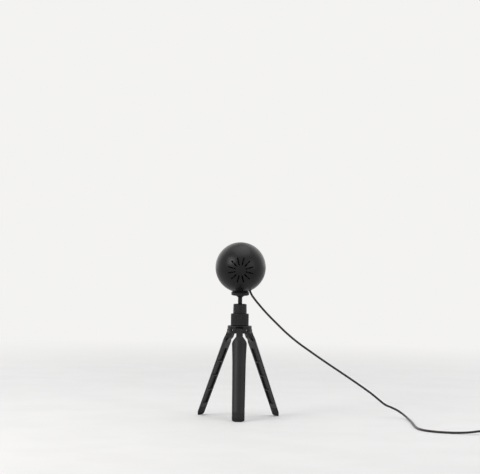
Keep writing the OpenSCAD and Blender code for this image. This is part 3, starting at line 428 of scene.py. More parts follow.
def ribbed_bezel():
    """Screwed ring round the lens: its rim is cut with fine ribs, a cosine of the angle."""
    rim, top, lip = FACE_R - 0.2 * MM, FACE_Z + 2 * MM, LENS_R - 1.4 * MM
    sleeve, low = THREAD_R - 0.1 * MM, LENS_BACK + 0.5 * MM
    inner = LENS_R + 0.2 * MM
    outline = [                # corners, with the radius of each in millimetres
        ((inner, low), 0.1), ((sleeve, low), 0.1), ((sleeve, FACE_Z), 0.05), ((rim, FACE_Z), 0.25),
        ((rim, top), 0.55), ((lip, top - 0.4 * MM), 0.5), ((lip, FACE_Z), 0.1),
        ((inner, FACE_Z), 0.05),
    ]
    profile = rounded([corner for corner, _ in outline], [r * MM for _, r in outline], 4)

    def ripple(angle, radius, height):
        on_rim = smoothstep(rim - 0.5 * MM, rim - 0.1 * MM, radius)
        return -BEZEL_RIB_DEPTH * on_rim * (0.5 + 0.5 * np.cos(BEZEL_RIBS * angle))

    piece = place(turned("ribbed_bezel", profile, BEZEL_RIBS * 8, ripple), BEAM)
    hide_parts("lens_bezel")
    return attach(piece, "head")


CUP_NECK_R, CUP_MOUTH_R, CUP_RIM_R, CUP_WALL = 5.2 * MM, 16.6 * MM, 18.8 * MM, 1 * MM
CUP_LOW, CUP_NECK_TOP, CUP_HIGH = -7.3 * MM, -5.5 * MM, 9 * MM
CONE_LOW = CUP_NECK_TOP + 0.6 * MM
CUP_FACETS, CUP_ROWS, FACET_DEPTH = 28, 7, 0.11 * MM


def faceted_cup():
    """Reflector: a cone from the neck to the mouth whose inside is dimpled in rings of facets, each
    the cosine round the cup times the sine along it."""
    def cone(share):
        return CONE_LOW + share * (CUP_HIGH - CONE_LOW)

    t = np.linspace(0, 1, 64)
    inside = np.column_stack([CUP_NECK_R + t * (CUP_MOUTH_R - CUP_NECK_R), cone(t)])
    neck, mouth = CUP_NECK_R + CUP_WALL, CUP_MOUTH_R + CUP_WALL
    lip = CUP_HIGH - CUP_WALL
    outside = [(CUP_RIM_R, CUP_HIGH), (CUP_RIM_R, lip), (mouth, lip), (neck, CUP_NECK_TOP),
               (neck, CUP_LOW), (CUP_NECK_R, CUP_LOW)]

    def ripple(angle, radius, height):
        share = (radius - CUP_NECK_R) / (CUP_MOUTH_R - CUP_NECK_R)
        on_inside = (np.abs(height - cone(share)) < 1e-6) & (share > 0) & (share < 1)
        rows = np.sin(CUP_ROWS * pi * np.clip(share, 0, 1))
        return FACET_DEPTH * np.abs(np.cos(CUP_FACETS / 2 * angle) * rows) * on_inside

    profile = np.vstack([inside, outside])
    piece = place(turned("faceted_cup", profile, CUP_FACETS * 8, ripple), BEAM)
    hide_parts("reflector")
    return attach(piece, "head")


PLUG_LOW, PLUG_HIGH = (Vector(c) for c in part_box("plug_body"))
BOOT_LOW, BOOT_HIGH = (Vector(c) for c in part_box("plug_boot"))
GRIP_ROUND, GRIP_BLUNT = 1.3 * MM, 5.5         # its ends' radius, and its superellipse's power
RIDGE_PITCH, RIDGE_DEPTH = 1.7 * MM, 0.32 * MM
SLEEVE_R, SLEEVE_TAPER = 3.25 * MM, 1.15 * MM
SLOTS, SLOT_DEPTH = 5, 0.75 * MM


def plug_grip():
    """Moulded grip of the plug: a superellipse carried along the plug, drawn in at both ends by a
    quarter circle and dipped at each of the finger ridges on its sides."""
    size = PLUG_HIGH - PLUG_LOW
    length, half_w, half_h = size.x, size.y / 2, PLUG_HIGH.z / 2
    middle_y = (PLUG_LOW.y + PLUG_HIGH.y) / 2
    ends = GRIP_ROUND * (1 - np.cos(np.linspace(0, pi / 2, 7)))
    straight = np.linspace(GRIP_ROUND, length - GRIP_ROUND, 90)[1:-1]
    x = np.concatenate([ends, straight, (length - ends)[::-1]])[:, None]
    near = np.minimum(x, length - x).clip(0, GRIP_ROUND)
    inset = GRIP_ROUND - np.sqrt(GRIP_ROUND ** 2 - (GRIP_ROUND - near) ** 2)
    angle = around(72)
    side, rise = (np.sign(wave) * np.abs(wave) ** (2 / GRIP_BLUNT)
                  for wave in (np.cos(angle), np.sin(angle)))
    ridged = smoothstep(0.28 * length, 0.33 * length, x)
    ridged = ridged * (1 - smoothstep(0.72 * length, 0.77 * length, x))
    ridges = ridged * (0.5 + 0.5 * np.cos(2 * pi * x / RIDGE_PITCH))
    wide = (half_w - inset - RIDGE_DEPTH * ridges * np.abs(side) ** 6) * side
    tall = (half_h - inset) * rise
    grid = np.stack([PLUG_LOW.x + x + 0 * angle, middle_y + wide, half_h + tall], axis=2)
    poles = [(PLUG_LOW.x + end, middle_y, half_h) for end in (0, length)]
    piece = grid_object("plug_grip", capped(grid, *poles))
    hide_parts("plug_body")
    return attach(piece, "stand")


def plug_sleeve():
    """Strain relief between lead and plug: a cone whose radius drops into rounded slots, a raised
    cosine of the distance along it, cubed."""
    length = BOOT_HIGH.x - BOOT_LOW.x
    t = np.linspace(0, 1, 91)
    slots = (0.5 + 0.5 * np.cos(2 * pi * (t * SLOTS + 0.5))) ** 3
    slots = slots * smoothstep(0.0, 0.08, t) * (1 - smoothstep(0.92, 1, t))
    radius = SLEEVE_R - SLEEVE_TAPER * t - SLOT_DEPTH * slots
    profile = np.vstack([[(0, 0)], np.column_stack([radius, t * length]), [(0, length)]])
    middle = (BOOT_LOW + BOOT_HIGH) / 2
    lie = Matrix.Translation((BOOT_LOW.x, middle.y, middle.z)) @ Matrix.Rotation(pi / 2, 4, "Y")
    piece = place(turned("plug_sleeve", profile, 40, closed=False), lie)
    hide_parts("plug_boot")
    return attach(piece, "stand")


STRAP_T = 0.6 * MM
STRAP_CORNER, STRAP_EDGE = 1.5 * MM, 0.2 * MM
LAP_FRONT, LAP_BACK = 3.4 * MM, 4.6 * MM       # how far the lapped end reaches from the middle


def coil_strap():
    """Hook strap round the coil: a rounded rectangle, whose band section is itself a thin rounded
    rectangle, with a second layer on top where the strap's end laps over."""
    low, high = (Vector(c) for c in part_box("coil_tie"))
    middle, half_w = (low + high) / 2, (high - low).x / 2
    outline = rounded([(low.y, 0), (high.y, 0), (high.y, high.z), (low.y, high.z)], STRAP_CORNER, 6)
    outline = np.vstack([outline, outline[:1]])
    loop = even(np.column_stack([np.zeros(len(outline)), outline]), 0.5 * MM)[:-1]
    across = np.array([1.0, 0, 0])
    section = rounded([(-half_w, 0), (half_w, 0), (half_w, STRAP_T), (-half_w, STRAP_T)],
                      STRAP_EDGE, 3)[None]

    def band(name, path, closed):
        """The section carried along a path in the plane across the strap."""
        if closed:
            way = np.roll(path, -1, axis=0) - np.roll(path, 1, axis=0)
        else:
            way = np.gradient(path, axis=0)
        way /= np.linalg.norm(way, axis=1, keepdims=True)
        inward = np.cross(across, way)[:, None]
        grid = path[:, None] + section[..., :1] * across + section[..., 1:] * inward
        grid[..., 0] += middle.x
        if not closed:
            grid = capped(grid, grid[0].mean(axis=0), grid[-1].mean(axis=0))
        return grid_object(name, grid, close_rows=closed)

    flat = np.linspace(middle.y + LAP_FRONT, middle.y - LAP_BACK, 18)
    lap = np.column_stack([0 * flat, flat, np.full(len(flat), high.z + STRAP_T)])
    piece = join("coil_strap", [band("coil_strap", loop, True), band("strap_end", lap, False)])
    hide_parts("coil_tie")
    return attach(piece, "stand")


BUTTON_HALF_L, BUTTON_HALF_W, BUTTON_BLUNT = 6 * MM, 4 * MM, 4.2
BUTTON_SKIRT, BUTTON_DISH, BUTTON_ROUND = 1.2 * MM, 0.35 * MM, 0.5 * MM
BAR_APART, BAR_HIGH = 1.8 * MM, 0.22 * MM
BAR_FOOT, BAR_TOP = 0.55 * MM, 0.2 * MM        # half widths of a bar at its foot and top
BAR_REACH, BAR_FULL = 3.0 * MM, 2.4 * MM       # half lengths of a bar there


def push_button():
    """Button of the switch: a superellipse, whose radius for each angle is the sum of the cosine's
    and the sine's powers of 4.2 to the power of -1/4.2. The top is dished by the square of the
    distance from its middle and carries three low bars across it."""
    low, high = (Vector(c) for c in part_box("switch_button"))
    middle = (low + high) / 2
    rings, flat = 80, 0.93
    edge = np.linspace(0, pi / 2, 6)
    share = np.concatenate([[0], np.linspace(0.01, flat, rings), 1 - (1 - flat) * np.cos(edge)])
    drop = np.concatenate([np.zeros(rings + 1), BUTTON_ROUND * (1 - np.cos(edge))])
    share, drop = share[:, None], drop[:, None]
    angle = around(256)
    powers = np.abs(np.cos(angle)) ** BUTTON_BLUNT + np.abs(np.sin(angle)) ** BUTTON_BLUNT
    radius = share * powers ** (-1 / BUTTON_BLUNT)
    x, y = BUTTON_HALF_L * radius * np.cos(angle), BUTTON_HALF_W * radius * np.sin(angle)
    bars = sum(smoothstep(BAR_FOOT, BAR_TOP, np.abs(x - k * BAR_APART)) for k in (-1, 0, 1))
    bars = bars * smoothstep(BAR_REACH, BAR_FULL, np.abs(y))
    z = high.z - drop - BUTTON_DISH * (1 - share ** 2) + BAR_HIGH * bars
    crown = np.stack([middle.x + x, middle.y + y, z], axis=2)
    skirt = crown[-1:].copy()
    skirt[..., 2] = low.z + BUTTON_SKIRT
    floor = 0 * skirt + (middle.x, middle.y, low.z + BUTTON_SKIRT)
    piece = grid_object("push_button", np.concatenate([crown, skirt, floor]))
    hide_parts("switch_button")
    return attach(piece, "button")


CAP_OUT = 10.9 * MM            # from a leg's joint to the cap's seat, along the pin
SOCKET_HALF = 0.72             # half the socket's width across its flats, in millimetres


def hex_caps():
    """End caps of the leg pins: a domed disc with a six-sided socket, whose wall lies at the
    hexagon's own radius for each angle."""
    angle = around(48)
    hexagon = SOCKET_HALF / np.cos((angle + pi / 6) % (pi / 3) - pi / 6)
    rows = [                   # radius and height, in millimetres
        (0, -0.55), (hexagon * 0.96, -0.55), (hexagon, -0.5), (hexagon, 0.02),
        (hexagon + 0.08, 0.1), (1.25, 0.08), (1.45, -0.05), (1.48, -0.3), (1.48, -0.9), (0, -0.9),
    ]
    radius = np.concatenate([r + 0 * angle for r, _ in rows]) * MM
    grid = ring_grid(radius, angle, np.array([[h * MM] for _, h in rows]))
    caps = []
    for leg in ("front_leg_fold", "right_leg_fold", "left_leg_fold"):
        for side in (-1, 1):
            out = side * Vector(joints[leg]["axis"]).normalized()
            seat = Matrix.Translation(Vector(joints[leg]["pos_m"]) + out * CAP_OUT)
            turn = out.to_track_quat("Z", "X").to_matrix().to_4x4()
            caps.append(place(grid_object("hex_cap", grid), seat @ turn))
    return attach(join("hex_caps", caps), "stand")


collar = finger_collar()
lens = lens_glass()
bezel = ribbed_bezel()
cup = faceted_cup()
grip = plug_grip()
sleeve = plug_sleeve()
strap = coil_strap()
button = push_button()
caps = hex_caps()

# ---------------- shader groups


def add(tree, kind, inputs=None, **settings):
    """A shader node. inputs sets or links its sockets, by name or place, and settings its
    properties."""
    made = tree.nodes.new("ShaderNode" + kind)
    for key, value in settings.items():
        setattr(made, key, value)
    for key, value in (inputs or {}).items():
        if isinstance(value, bpy.types.NodeSocket):
            tree.links.new(value, made.inputs[key])
        else:
            made.inputs[key].default_value = value
    return made


def feed(tree, node, **values):
    """Links what other nodes put out to a node's sockets, by their names."""
    for key, value in values.items():
        tree.links.new(value, node.inputs[key.replace("_", " ")])


def sums(tree, operation, *values, clamp=False):
    """The output of a Math node over the given values and sockets."""
    inputs = dict(enumerate(values))
    return add(tree, "Math", inputs, operation=operation, use_clamp=clamp).outputs[0]


def ramp(tree, value, low, high, to_low=0.0, to_high=1.0):
    """Value mapped from low..high to to_low..to_high, held at both ends."""
    inputs = {0: value, 1: low, 2: high, 3: to_low, 4: to_high}
    return add(tree, "MapRange", inputs, interpolation_type="SMOOTHSTEP").outputs[0]


def tint(tree, share, under, over):
    """The colour under, covered by the colour over, by that share."""
    return add(tree, "Mix", {0: share, 6: under, 7: over}, data_type="RGBA").outputs[2]


def shade(colour, share):
    """A plain colour at that share of its brightness."""
    return tuple(share * c for c in colour[:3]) + (1,)


def spot(tree):
    """The place of each point on its piece: its Object coordinates."""
    return add(tree, "TexCoord").outputs["Object"]


def stretched(tree, where, scale, turn=(0, 0, 0), shift=(0, 0, 0)):
    """Coordinates scaled, turned and moved."""
    return add(tree, "Mapping", {0: where, 1: shift, 2: turn, 3: scale}).outputs[0]


def noise(tree, where, scale, detail, roughness=0.5, distortion=0.0):
    """Noise over the coordinates where, from 0 to 1."""
    return add(tree, "TexNoise", {"Vector": where, "Scale": scale, "Detail": detail,
                                  "Roughness": roughness, "Distortion": distortion}).outputs[0]


def relief(tree, height, depth, normal=None, strength=1.0):
    """The normal of a surface raised by its height times the depth, in metres."""
    inputs = {"Strength": strength, "Distance": depth, "Height": height}
    return add(tree, "Bump", inputs if normal is None else {**inputs, "Normal": normal}).outputs[0]


def group(name, label, value, **kinds):
    """An empty shader group with one input and the named outputs: its tree, its input and the
    node that its outputs are fed to."""
    tree = bpy.data.node_groups.new(name, "ShaderNodeTree")
    taken = tree.interface.new_socket(name=label, in_out="INPUT", socket_type="NodeSocketFloat")
    taken.default_value = value
    for key, kind in kinds.items():
        tree.interface.new_socket(name=key, in_out="OUTPUT", socket_type="NodeSocket" + kind)
    given = tree.nodes.new("NodeGroupInput").outputs[label]
    return tree, given, tree.nodes.new("NodeGroupOutput")


def spark_grain():
    """Fine pitted skin of a spark-eroded mould: noise with a cell pattern over it, both sized in
    metres."""
    tree, size, out = group("Spark grain", "Size", 0.3 * MM, Height="Float", Mottle="Float")
    where = spot(tree)
    scale = sums(tree, "DIVIDE", 1.0, size)
    fine = noise(tree, where, scale, 3, 0.62)
    cells = add(tree, "TexVoronoi", {"Vector": where, "Scale": sums(tree, "MULTIPLY", scale, 0.55)})
    height = sums(tree, "MULTIPLY_ADD", cells.outputs["Distance"], 0.5, fine)
    feed(tree, out, Height=height, Mottle=ramp(tree, noise(tree, where, 42, 4, 0.55), 0.36, 0.66))
    return tree


def edge_polish():
    """Edges rounded by a small radius, and a mask of where they lie, broken up by noise."""
    tree, radius, out = group("Edge polish", "Radius", 0.3 * MM, Normal="Vector", Mask="Float")
    soft = add(tree, "Bevel", {"Radius": radius}, samples=4).outputs[0]
    flat = add(tree, "NewGeometry").outputs["Normal"]
    agree = add(tree, "VectorMath", {0: soft, 1: flat}, operation="DOT_PRODUCT").outputs["Value"]
    edge = ramp(tree, agree, 0.995, 0.86)
    patchy = ramp(tree, noise(tree, spot(tree), 260, 4, 0.7), 0.38, 0.62)
    feed(tree, out, Normal=soft, Mask=sums(tree, "MULTIPLY", edge, patchy))
    return tree


def settled_dust():
    """Mask of dust: it lies where the surface looks up, in patches and specks."""
    tree, amount, out = group("Settled dust", "Amount", 0.2, Mask="Float")
    where = spot(tree)
    normal = add(tree, "SeparateXYZ", {0: add(tree, "NewGeometry").outputs["Normal"]}).outputs[2]
    patches = ramp(tree, noise(tree, where, 55, 6, 0.65), 0.35, 0.7)
    specks = ramp(tree, noise(tree, where, 1900, 2, 0.5), 0.42, 0.68, 0.35, 1.0)
    lie = sums(tree, "MULTIPLY", ramp(tree, normal, 0.15, 1.0), patches)
    lie = sums(tree, "MULTIPLY", lie, specks)
    feed(tree, out, Mask=sums(tree, "MULTIPLY", lie, amount))
    return tree


def hand_marks():
    """Faint smears left by fingers: stretched noise, centred on nought."""
    tree, strength, out = group("Hand marks", "Strength", 0.1, Change="Float")
    along = stretched(tree, spot(tree), (1, 1, 0.35), (0.4, 0.9, 0.3))
    centred = sums(tree, "SUBTRACT", noise(tree, along, 85, 5, 0.6, 0.6), 0.5)
    feed(tree, out, Change=sums(tree, "MULTIPLY", centred, strength))
    return tree


def tool_lines():
    """Fine lines of a turned or drawn metal part: noise squeezed along one axis."""
    tree, fine, out = group("Tool lines", "Fine", 5200.0, Height="Float")
    feed(tree, out, Height=noise(tree, stretched(tree, spot(tree), (0.04, 0.04, 1)), fine, 3))
    return tree


def lead_skin():
    """Skin of an extruded lead: lines that run along it, and slow swells in its thickness and
    sheen."""
    tree, count, out = group("Lead skin", "Lines", 60.0, Height="Float", Sheen="Float")
    along = add(tree, "UVMap", uv_map="along").outputs[0]
    lines = noise(tree, stretched(tree, along, (30, 1, 1)), count, 3, 0.6)
    swell = noise(tree, stretched(tree, along, (160, 2, 1)), 1, 2)
    height = sums(tree, "MULTIPLY_ADD", swell, 2.0, lines)
    feed(tree, out, Height=height, Sheen=ramp(tree, swell, 0.3, 0.7))
    return tree


GRAIN, EDGES, DUST, MARKS = spark_grain(), edge_polish(), settled_dust(), hand_marks()
LINES, SKIN = tool_lines(), lead_skin()


def use(tree, shared, **values):
    """A shared group placed in a material, with its own values."""
    made = tree.nodes.new("ShaderNodeGroup")
    made.node_tree = shared
    for key, value in values.items():
        made.inputs[key].default_value = value
    return made.outputs


# ---------------- finishes

DUST_COLOUR = (0.30, 0.28, 0.26, 1)
LED_GLOW = 1.7                 # brightness of the lit phosphor, where 1 is white in the picture


def shader(name, colour, roughness, **settings):
    """A material with one Principled BSDF; returns the material, its tree and the shader."""
    material = bpy.data.materials.new(name)
    material.use_nodes = True
    tree = material.node_tree
    surface = tree.nodes["Principled BSDF"]
    surface.inputs["Base Color"].default_value = colour
    surface.inputs["Roughness"].default_value = roughness
    for key, value in settings.items():
        surface.inputs[key.replace("_", " ")].default_value = value
    return material, tree, surface


def hard_finish(name, colour, roughness, grain, depth, edge, worn, dust, marks=0.1,
                radius=0.35 * MM, **settings):
    """A hard part: its grain, rounded and rubbed edges, dust that has settled on it and hand marks.
    grain is the grain's size and depth its height in metres; edge is the colour that rubbed edges
    take and worn how much of it shows."""
    material, tree, surface = shader(name, colour, roughness, **settings)
    skin = use(tree, GRAIN, Size=grain)
    edges = use(tree, EDGES, Radius=radius)
    lying = use(tree, DUST, Amount=dust)["Mask"]
    smear = use(tree, MARKS, Strength=marks)["Change"]
    rubbed = sums(tree, "MULTIPLY", edges["Mask"], worn)
    base = tint(tree, skin["Mottle"], shade(colour, 0.72), colour)
    base = tint(tree, rubbed, base, edge)
    rough = sums(tree, "ADD", roughness, smear)
    rough = sums(tree, "MULTIPLY_ADD", lying, 0.25, rough)
    rough = sums(tree, "MULTIPLY_ADD", rubbed, -0.12, rough, clamp=True)
    feed(tree, surface, Base_Color=tint(tree, lying, base, DUST_COLOUR), Roughness=rough,
         Normal=relief(tree, skin["Height"], depth, edges["Normal"]))
    return material


def metal_finish(name, colour, roughness, fine, depth, marks=0.12):
    """Bare metal: tool lines in its surface, softened edges and slight stains."""
    material, tree, surface = shader(name, colour, roughness, Metallic=1.0)
    edges = use(tree, EDGES, Radius=0.12 * MM)
    lines = use(tree, LINES, Fine=fine)["Height"]
    smear = use(tree, MARKS, Strength=marks)["Change"]
    mottle = use(tree, GRAIN, Size=0.4 * MM)["Mottle"]
    feed(tree, surface, Base_Color=tint(tree, mottle, shade(colour, 0.8), colour),
         Roughness=sums(tree, "ADD", roughness, smear, clamp=True),
         Normal=relief(tree, lines, depth, edges["Normal"]))
    return material


def lead_finish(name, colour, roughness):
    """Soft plastic skin of the lead, with lines along it."""
    material, tree, surface = shader(name, colour, roughness, Specular_IOR_Level=0.38)
    skin = use(tree, SKIN, Lines=55.0)
    lying = use(tree, DUST, Amount=0.10)["Mask"]
    rough = sums(tree, "MULTIPLY_ADD", skin["Sheen"], 0.14, roughness)
    rough = sums(tree, "MULTIPLY_ADD", lying, 0.3, rough, clamp=True)
    feed(tree, surface, Base_Color=tint(tree, lying, colour, DUST_COLOUR), Roughness=rough,
         Normal=relief(tree, skin["Height"], 0.012 * MM))
    return material


def lens_finish():
    """Clear glass: polished all over but for a few faint smears."""
    material, tree, surface = shader("clear lens glass", (0.985, 0.995, 1.0, 1), 0.01, IOR=1.5,
                                     Transmission_Weight=1.0)
    smear = use(tree, MARKS, Strength=1.0)["Change"]
    feed(tree, surface, Roughness=ramp(tree, smear, 0.02, 0.3, 0.006, 0.05))
    return material


FILTER_CENTRE, FILTER_FIELD = (1.0, 0.36, 0.03, 1), (1.0, 0.64, 0.07, 1)
FILTER_RIM = (0.9, 0.14, 0.02, 1)


def filter_finish():
    """Dyed glass: orange in the middle, amber over the field and red at the rim, by the distance
    from the beam's line."""
    material, tree, surface = shader("sunset filter glass", FILTER_FIELD, 0.03, IOR=1.45,
                                     Transmission_Weight=0.85)
    beam_back = BEAM.inverted()
    centred = stretched(tree, spot(tree), (1, 1, 1), beam_back.to_euler(), beam_back.translation)
    axes = add(tree, "SeparateXYZ", {0: centred}).outputs
    flat = add(tree, "CombineXYZ", {0: axes[0], 1: axes[1], 2: 0.0}).outputs[0]
    radius = add(tree, "VectorMath", {0: flat}, operation="LENGTH").outputs["Value"]
    inner = ramp(tree, radius, 2 * MM, 9 * MM)
    outer = ramp(tree, radius, 15 * MM, 17.5 * MM)
    colour = tint(tree, outer, tint(tree, inner, FILTER_CENTRE, FILTER_FIELD), FILTER_RIM)
    smear = use(tree, MARKS, Strength=0.05)["Change"]
    feed(tree, surface, Base_Color=colour, Roughness=sums(tree, "ADD", 0.035, smear, clamp=True))
    return material


def board_finish(name, colour, track):
    """Circuit board under lacquer: tracks that stand up a little, drawn by stepped cells."""
    material, tree, surface = shader(name, colour, 0.3, Coat_Weight=0.5, Coat_Roughness=0.15)
    where = spot(tree)
    cells = add(tree, "TexBrick", {"Vector": where, "Scale": 260.0, "Mortar Size": 0.03})
    tracks = sums(tree, "MULTIPLY", ramp(tree, cells.outputs["Fac"], 0.3, 0.7),
                  ramp(tree, noise(tree, where, 120, 1), 0.48, 0.5))
    feed(tree, surface, Base_Color=tint(tree, tracks, colour, track),
         Normal=relief(tree, tracks, 0.04 * MM, strength=0.6))
    return material


def phosphor_finish():
    """Yellow phosphor of the light source, grainy and slightly uneven, and lit."""
    material, tree, surface = shader("phosphor", (0.92, 0.74, 0.16, 1), 0.45,
                                     Subsurface_Weight=0.15, Subsurface_Scale=1 * MM,
                                     Emission_Strength=LED_GLOW)
    skin = use(tree, GRAIN, Size=0.12 * MM)
    colour = tint(tree, skin["Mottle"], (0.86, 0.62, 0.10, 1), (0.95, 0.80, 0.22, 1))
    light = tint(tree, skin["Mottle"], (1.0, 0.80, 0.50, 1), (1.0, 0.86, 0.60, 1))
    feed(tree, surface, Base_Color=colour, Emission_Color=light,
         Normal=relief(tree, skin["Height"], 0.02 * MM))
    return material


def strap_finish():
    """Woven strap: crossed ribs over a matte black."""
    material, tree, surface = shader("woven strap", (0.022, 0.022, 0.024, 1), 0.8,
                                     Sheen_Weight=0.3)
    where = spot(tree)
    ribs = [add(tree, "TexWave", {"Vector": where, "Scale": 520.0, "Distortion": 0.3},
                bands_direction=way).outputs["Fac"] for way in ("X", "Y")]
    weave = sums(tree, "MULTIPLY", *ribs)
    colour = tint(tree, weave, (0.012, 0.012, 0.013, 1), (0.034, 0.034, 0.037, 1))
    feed(tree, surface, Base_Color=colour, Normal=relief(tree, weave, 0.08 * MM))
    return material


BLACK_EDGE = (0.060, 0.058, 0.057, 1)
moulded_black = hard_finish(
    "moulded black nylon", (0.0090, 0.0090, 0.0100, 1), 0.42, 0.34 * MM, 0.065 * MM, BLACK_EDGE,
    0.6, 0.06, Specular_IOR_Level=0.25)
grip_black = hard_finish(
    "collar grip nylon", (0.0085, 0.0085, 0.0095, 1), 0.46, 0.24 * MM, 0.04 * MM, BLACK_EDGE,
    0.55, 0.05, Specular_IOR_Level=0.25)
anodised_black = hard_finish(
    "black anodised shell", (0.007, 0.007, 0.008, 1), 0.33, 0.13 * MM, 0.009 * MM,
    (0.085, 0.085, 0.09, 1), 0.6, 0.08, marks=0.2, radius=0.4 * MM, Specular_IOR_Level=0.22)
bezel_black = hard_finish(
    "black anodised ring", (0.006, 0.006, 0.007, 1), 0.27, 0.09 * MM, 0.004 * MM,
    (0.13, 0.13, 0.135, 1), 0.6, 0.03, radius=0.15 * MM, Specular_IOR_Level=0.5)
neck_black = hard_finish(
    "black oxide steel", (0.015, 0.015, 0.017, 1), 0.28, 0.12 * MM, 0.005 * MM,
    (0.17, 0.17, 0.175, 1), 0.5, 0.03, radius=0.2 * MM, Metallic=0.7, Specular_IOR_Level=0.4)
inner_black = hard_finish(
    "matte black tube", (0.012, 0.012, 0.013, 1), 0.6, 0.14 * MM, 0.01 * MM, BLACK_EDGE,
    0.3, 0.0, Specular_IOR_Level=0.3)
sink_black = hard_finish(
    "black anodised fins", (0.008, 0.008, 0.009, 1), 0.5, 0.1 * MM, 0.006 * MM,
    (0.10, 0.10, 0.105, 1), 0.35, 0.02, radius=0.12 * MM, Specular_IOR_Level=0.35)
soft_black = hard_finish(
    "black rubber", (0.0065, 0.0065, 0.007, 1), 0.68, 0.4 * MM, 0.08 * MM,
    (0.022, 0.022, 0.023, 1), 0.4, 0.16, marks=0.06, Specular_IOR_Level=0.28)
gasket_black = hard_finish(
    "gasket rubber", (0.012, 0.012, 0.012, 1), 0.65, 0.2 * MM, 0.01 * MM,
    (0.03, 0.03, 0.03, 1), 0.2, 0.0, marks=0.04, Specular_IOR_Level=0.3)
case_black = hard_finish(
    "switch case plastic", (0.010, 0.010, 0.011, 1), 0.40, 0.3 * MM, 0.045 * MM, BLACK_EDGE,
    0.55, 0.08, Specular_IOR_Level=0.4)
button_black = hard_finish(
    "button plastic", (0.028, 0.028, 0.031, 1), 0.28, 0.15 * MM, 0.006 * MM, (0.1, 0.1, 0.1, 1),
    0.5, 0.04)
pale_nylon = hard_finish(
    "natural nylon", (0.74, 0.72, 0.66, 1), 0.42, 0.25 * MM, 0.008 * MM, (0.85, 0.83, 0.78, 1),
    0.3, 0.0)
dark_parts = hard_finish(
    "moulded part resin", (0.035, 0.035, 0.038, 1), 0.4, 0.2 * MM, 0.008 * MM,
    (0.09, 0.09, 0.09, 1), 0.3, 0.0)
white_board = hard_finish(
    "white board lacquer", (0.80, 0.80, 0.77, 1), 0.32, 0.2 * MM, 0.004 * MM,
    (0.9, 0.9, 0.88, 1), 0.3, 0.0)
pin_steel = metal_finish("turned steel", (0.50, 0.50, 0.52, 1), 0.28, 5200.0, 0.004 * MM)
shell_steel = metal_finish("rolled steel", (0.62, 0.62, 0.64, 1), 0.24, 3600.0, 0.003 * MM)
cup_metal = metal_finish(
    "peened bright aluminium", (0.86, 0.87, 0.88, 1), 0.34, 900.0, 0.0005 * MM, marks=0.05)
brass = metal_finish("turned brass", (0.72, 0.54, 0.25, 1), 0.30, 4200.0, 0.004 * MM)
lead_black = lead_finish("black lead skin", (0.0085, 0.0085, 0.009, 1), 0.34)
wire_red = hard_finish(
    "red wire skin", (0.42, 0.02, 0.015, 1), 0.4, 0.2 * MM, 0.004 * MM, (0.5, 0.05, 0.04, 1),
    0.2, 0.0)
green_board = board_finish("green board lacquer", (0.02, 0.17, 0.07, 1), (0.06, 0.32, 0.14, 1))
clear_glass, sunset_glass = lens_finish(), filter_finish()
phosphor, woven = phosphor_finish(), strap_finish()

FINISH_OF_NODE = {
    moulded_black: ["hub", "socket_cup", "leg_front", "leg_right", "leg_left", "mount_plate",
                    "leg_washers"],
    neck_black: ["ball_stud"],
    anodised_black: ["rear_shell", "front_shell"],
    soft_black: ["foot_front", "foot_right", "foot_left", "plate_pad", "cord_grommet",
                 "switch_bushings"],
    gasket_black: ["lens_gasket"],
    case_black: ["switch_case_bottom", "switch_case_top"],
    pale_nylon: ["brake_pad", "ball_seat"],
    dark_parts: ["driver_parts"],
    white_board: ["led_board", "usb_tongue"],
    pin_steel: ["leg_pins", "brake_pin", "led_screws", "frame_screws", "switch_screws",
                "filter_ring"],
    shell_steel: ["usb_shell"],
    sink_black: ["heat_sink"],
    brass: ["threaded_insert", "spacer_posts", "usb_contacts"],
    green_board: ["driver_board", "switch_board"],
    sunset_glass: ["colour_filter"],
    phosphor: ["led_chip"],
    wire_red: ["led_wires"],
    inner_black: ["lens_tube", "inner_lead"],
}
FINISH_OF_PIECE = [
    (collar, grip_black, "stand_plastic"), (lens, clear_glass, "clear_glass"),
    (bezel, bezel_black, "shell_metal"), (cup, cup_metal, "bare_aluminium"),
    (grip, case_black, "switch_plastic"), (sleeve, soft_black, "black_rubber"),
    (strap, woven, "strap_black"), (button, button_black, "button_plastic"),
    (caps, neck_black, "black_metal"),
] + [(piece, lead_black, "lead_black") for piece, _ in leads.values()]


def paint():
    """Gives every piece its finish."""
    for material, names in FINISH_OF_NODE.items():
        for name in names:
            for held in cad[name].material_slots:
                held.material = material
    for piece, material, slot in FINISH_OF_PIECE:
        piece.data.materials.clear()
        piece.data.materials.append(material)


paint()

# ---------------- floor and light

FLOOR_COLOUR = (0.80, 0.79, 0.775, 1)
FLOOR_REACH, FLOOR_DROP = 60.0, 0.05 * MM      # half its side, and how far it lies under the feet
FLOOR_FADE = 0.55, 1.9                         # distances between which it becomes the backdrop
BACKDROP_COLOUR = (0.90, 0.895, 0.885, 1)
ROOM_COLOUR, ROOM_LIGHT = (0.92, 0.95, 1.0, 1), 0.42
LAMP_AIM = (0.05, AXIS_Y, 0.12)
STUDIO_LAMPS = [               # name, place, side, power and colour
    ("overhead", (0.1, -0.1, 1.5), 1.3, 9, (1, 1, 1)),
    ("key", (-1.25, -1.1, 1.05), 0.9, 14, (1.0, 0.98, 0.95)),
    ("fill", (1.5, -1.2, 0.7), 1.1, 5, (0.95, 0.97, 1.0)),
    ("rim left", (-0.9, 1.3, 0.8), 1.5, 5, (1, 1, 1)),
    ("rim right", (1.0, 1.2, 0.9), 1.5, 5, (1, 1, 1)),
]


def backdrop_share(tree):
    """1 on rays that the camera sees directly, in reflections or through glass, and 0 on others."""
    path = add(tree, "LightPath").outputs
    direct = sums(tree, "MAXIMUM", path["Is Camera Ray"], path["Is Glossy Ray"])
    return sums(tree, "MAXIMUM", direct, path["Is Transmission Ray"])


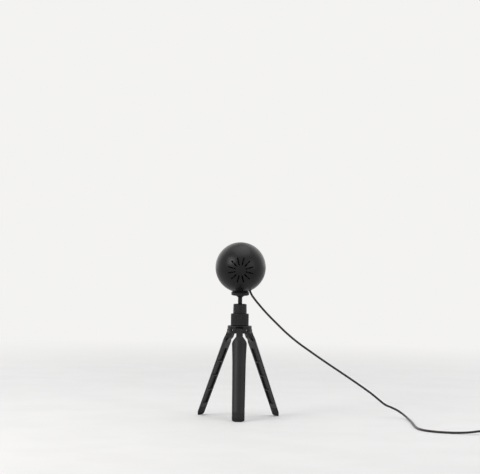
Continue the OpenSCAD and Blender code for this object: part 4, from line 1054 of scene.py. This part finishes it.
def lay_floor():
    """A wide pale floor, a hair under the feet. Away from the lamp it passes into the backdrop's
    own colour, by the distance from the tripod."""
    corner = np.array([[-1, -1], [1, -1], [1, 1], [-1, 1]]) * FLOOR_REACH
    points = np.column_stack([corner, np.full(4, -FLOOR_DROP)])
    floor = mesh_object("floor", points, np.array([[0, 1, 2, 3]]), smooth=False)
    material, tree, surface = shader("pale floor", FLOOR_COLOUR, 0.62, Specular_IOR_Level=0.25)
    where = spot(tree)
    mottle = ramp(tree, noise(tree, where, 9, 5), 0.35, 0.65)
    feed(tree, surface, Base_Color=tint(tree, mottle, shade(FLOOR_COLOUR, 0.97), FLOOR_COLOUR))
    away = add(tree, "VectorMath", {0: where}, operation="LENGTH").outputs["Value"]
    glow = add(tree, "Emission", {"Color": BACKDROP_COLOUR, "Strength": 1.0})
    share = sums(tree, "MULTIPLY", ramp(tree, away, *FLOOR_FADE), backdrop_share(tree))
    mixed = add(tree, "MixShader", {0: share, 1: surface.outputs[0], 2: glow.outputs[0]})
    feed(tree, tree.nodes["Material Output"], Surface=mixed.outputs[0])
    floor.data.materials.append(material)


def softbox(name, where, size, power, colour):
    """A square area lamp that faces the lamp's middle."""
    light = bpy.data.lights.new(name, "AREA")
    light.shape, light.size, light.energy, light.color = "SQUARE", size, power, colour
    lamp = bpy.data.objects.new(name, light)
    bpy.context.scene.collection.objects.link(lamp)
    lamp.location = where
    lamp.rotation_euler = (Vector(LAMP_AIM) - Vector(where)).to_track_quat("-Z", "Y").to_euler()


def light_studio():
    """Plain soft light: a large overhead box, a key from the left, a fill and two from behind. The
    backdrop is the world's own colour, seen by the camera, in reflections and through glass."""
    world = bpy.data.worlds.new("studio")
    bpy.context.scene.world = world
    world.use_nodes = True
    tree = world.node_tree
    tree.nodes.clear()
    room = add(tree, "Background", {"Color": ROOM_COLOUR, "Strength": ROOM_LIGHT})
    backdrop = add(tree, "Background", {"Color": BACKDROP_COLOUR, "Strength": 1.0})
    mixed = add(tree, "MixShader", {0: backdrop_share(tree), 1: room.outputs[0],
                                    2: backdrop.outputs[0]})
    add(tree, "OutputWorld", {0: mixed.outputs[0]})
    for lamp in STUDIO_LAMPS:
        softbox(*lamp)


lay_floor()
light_studio()
bpy.context.scene.view_settings.view_transform = "Standard"
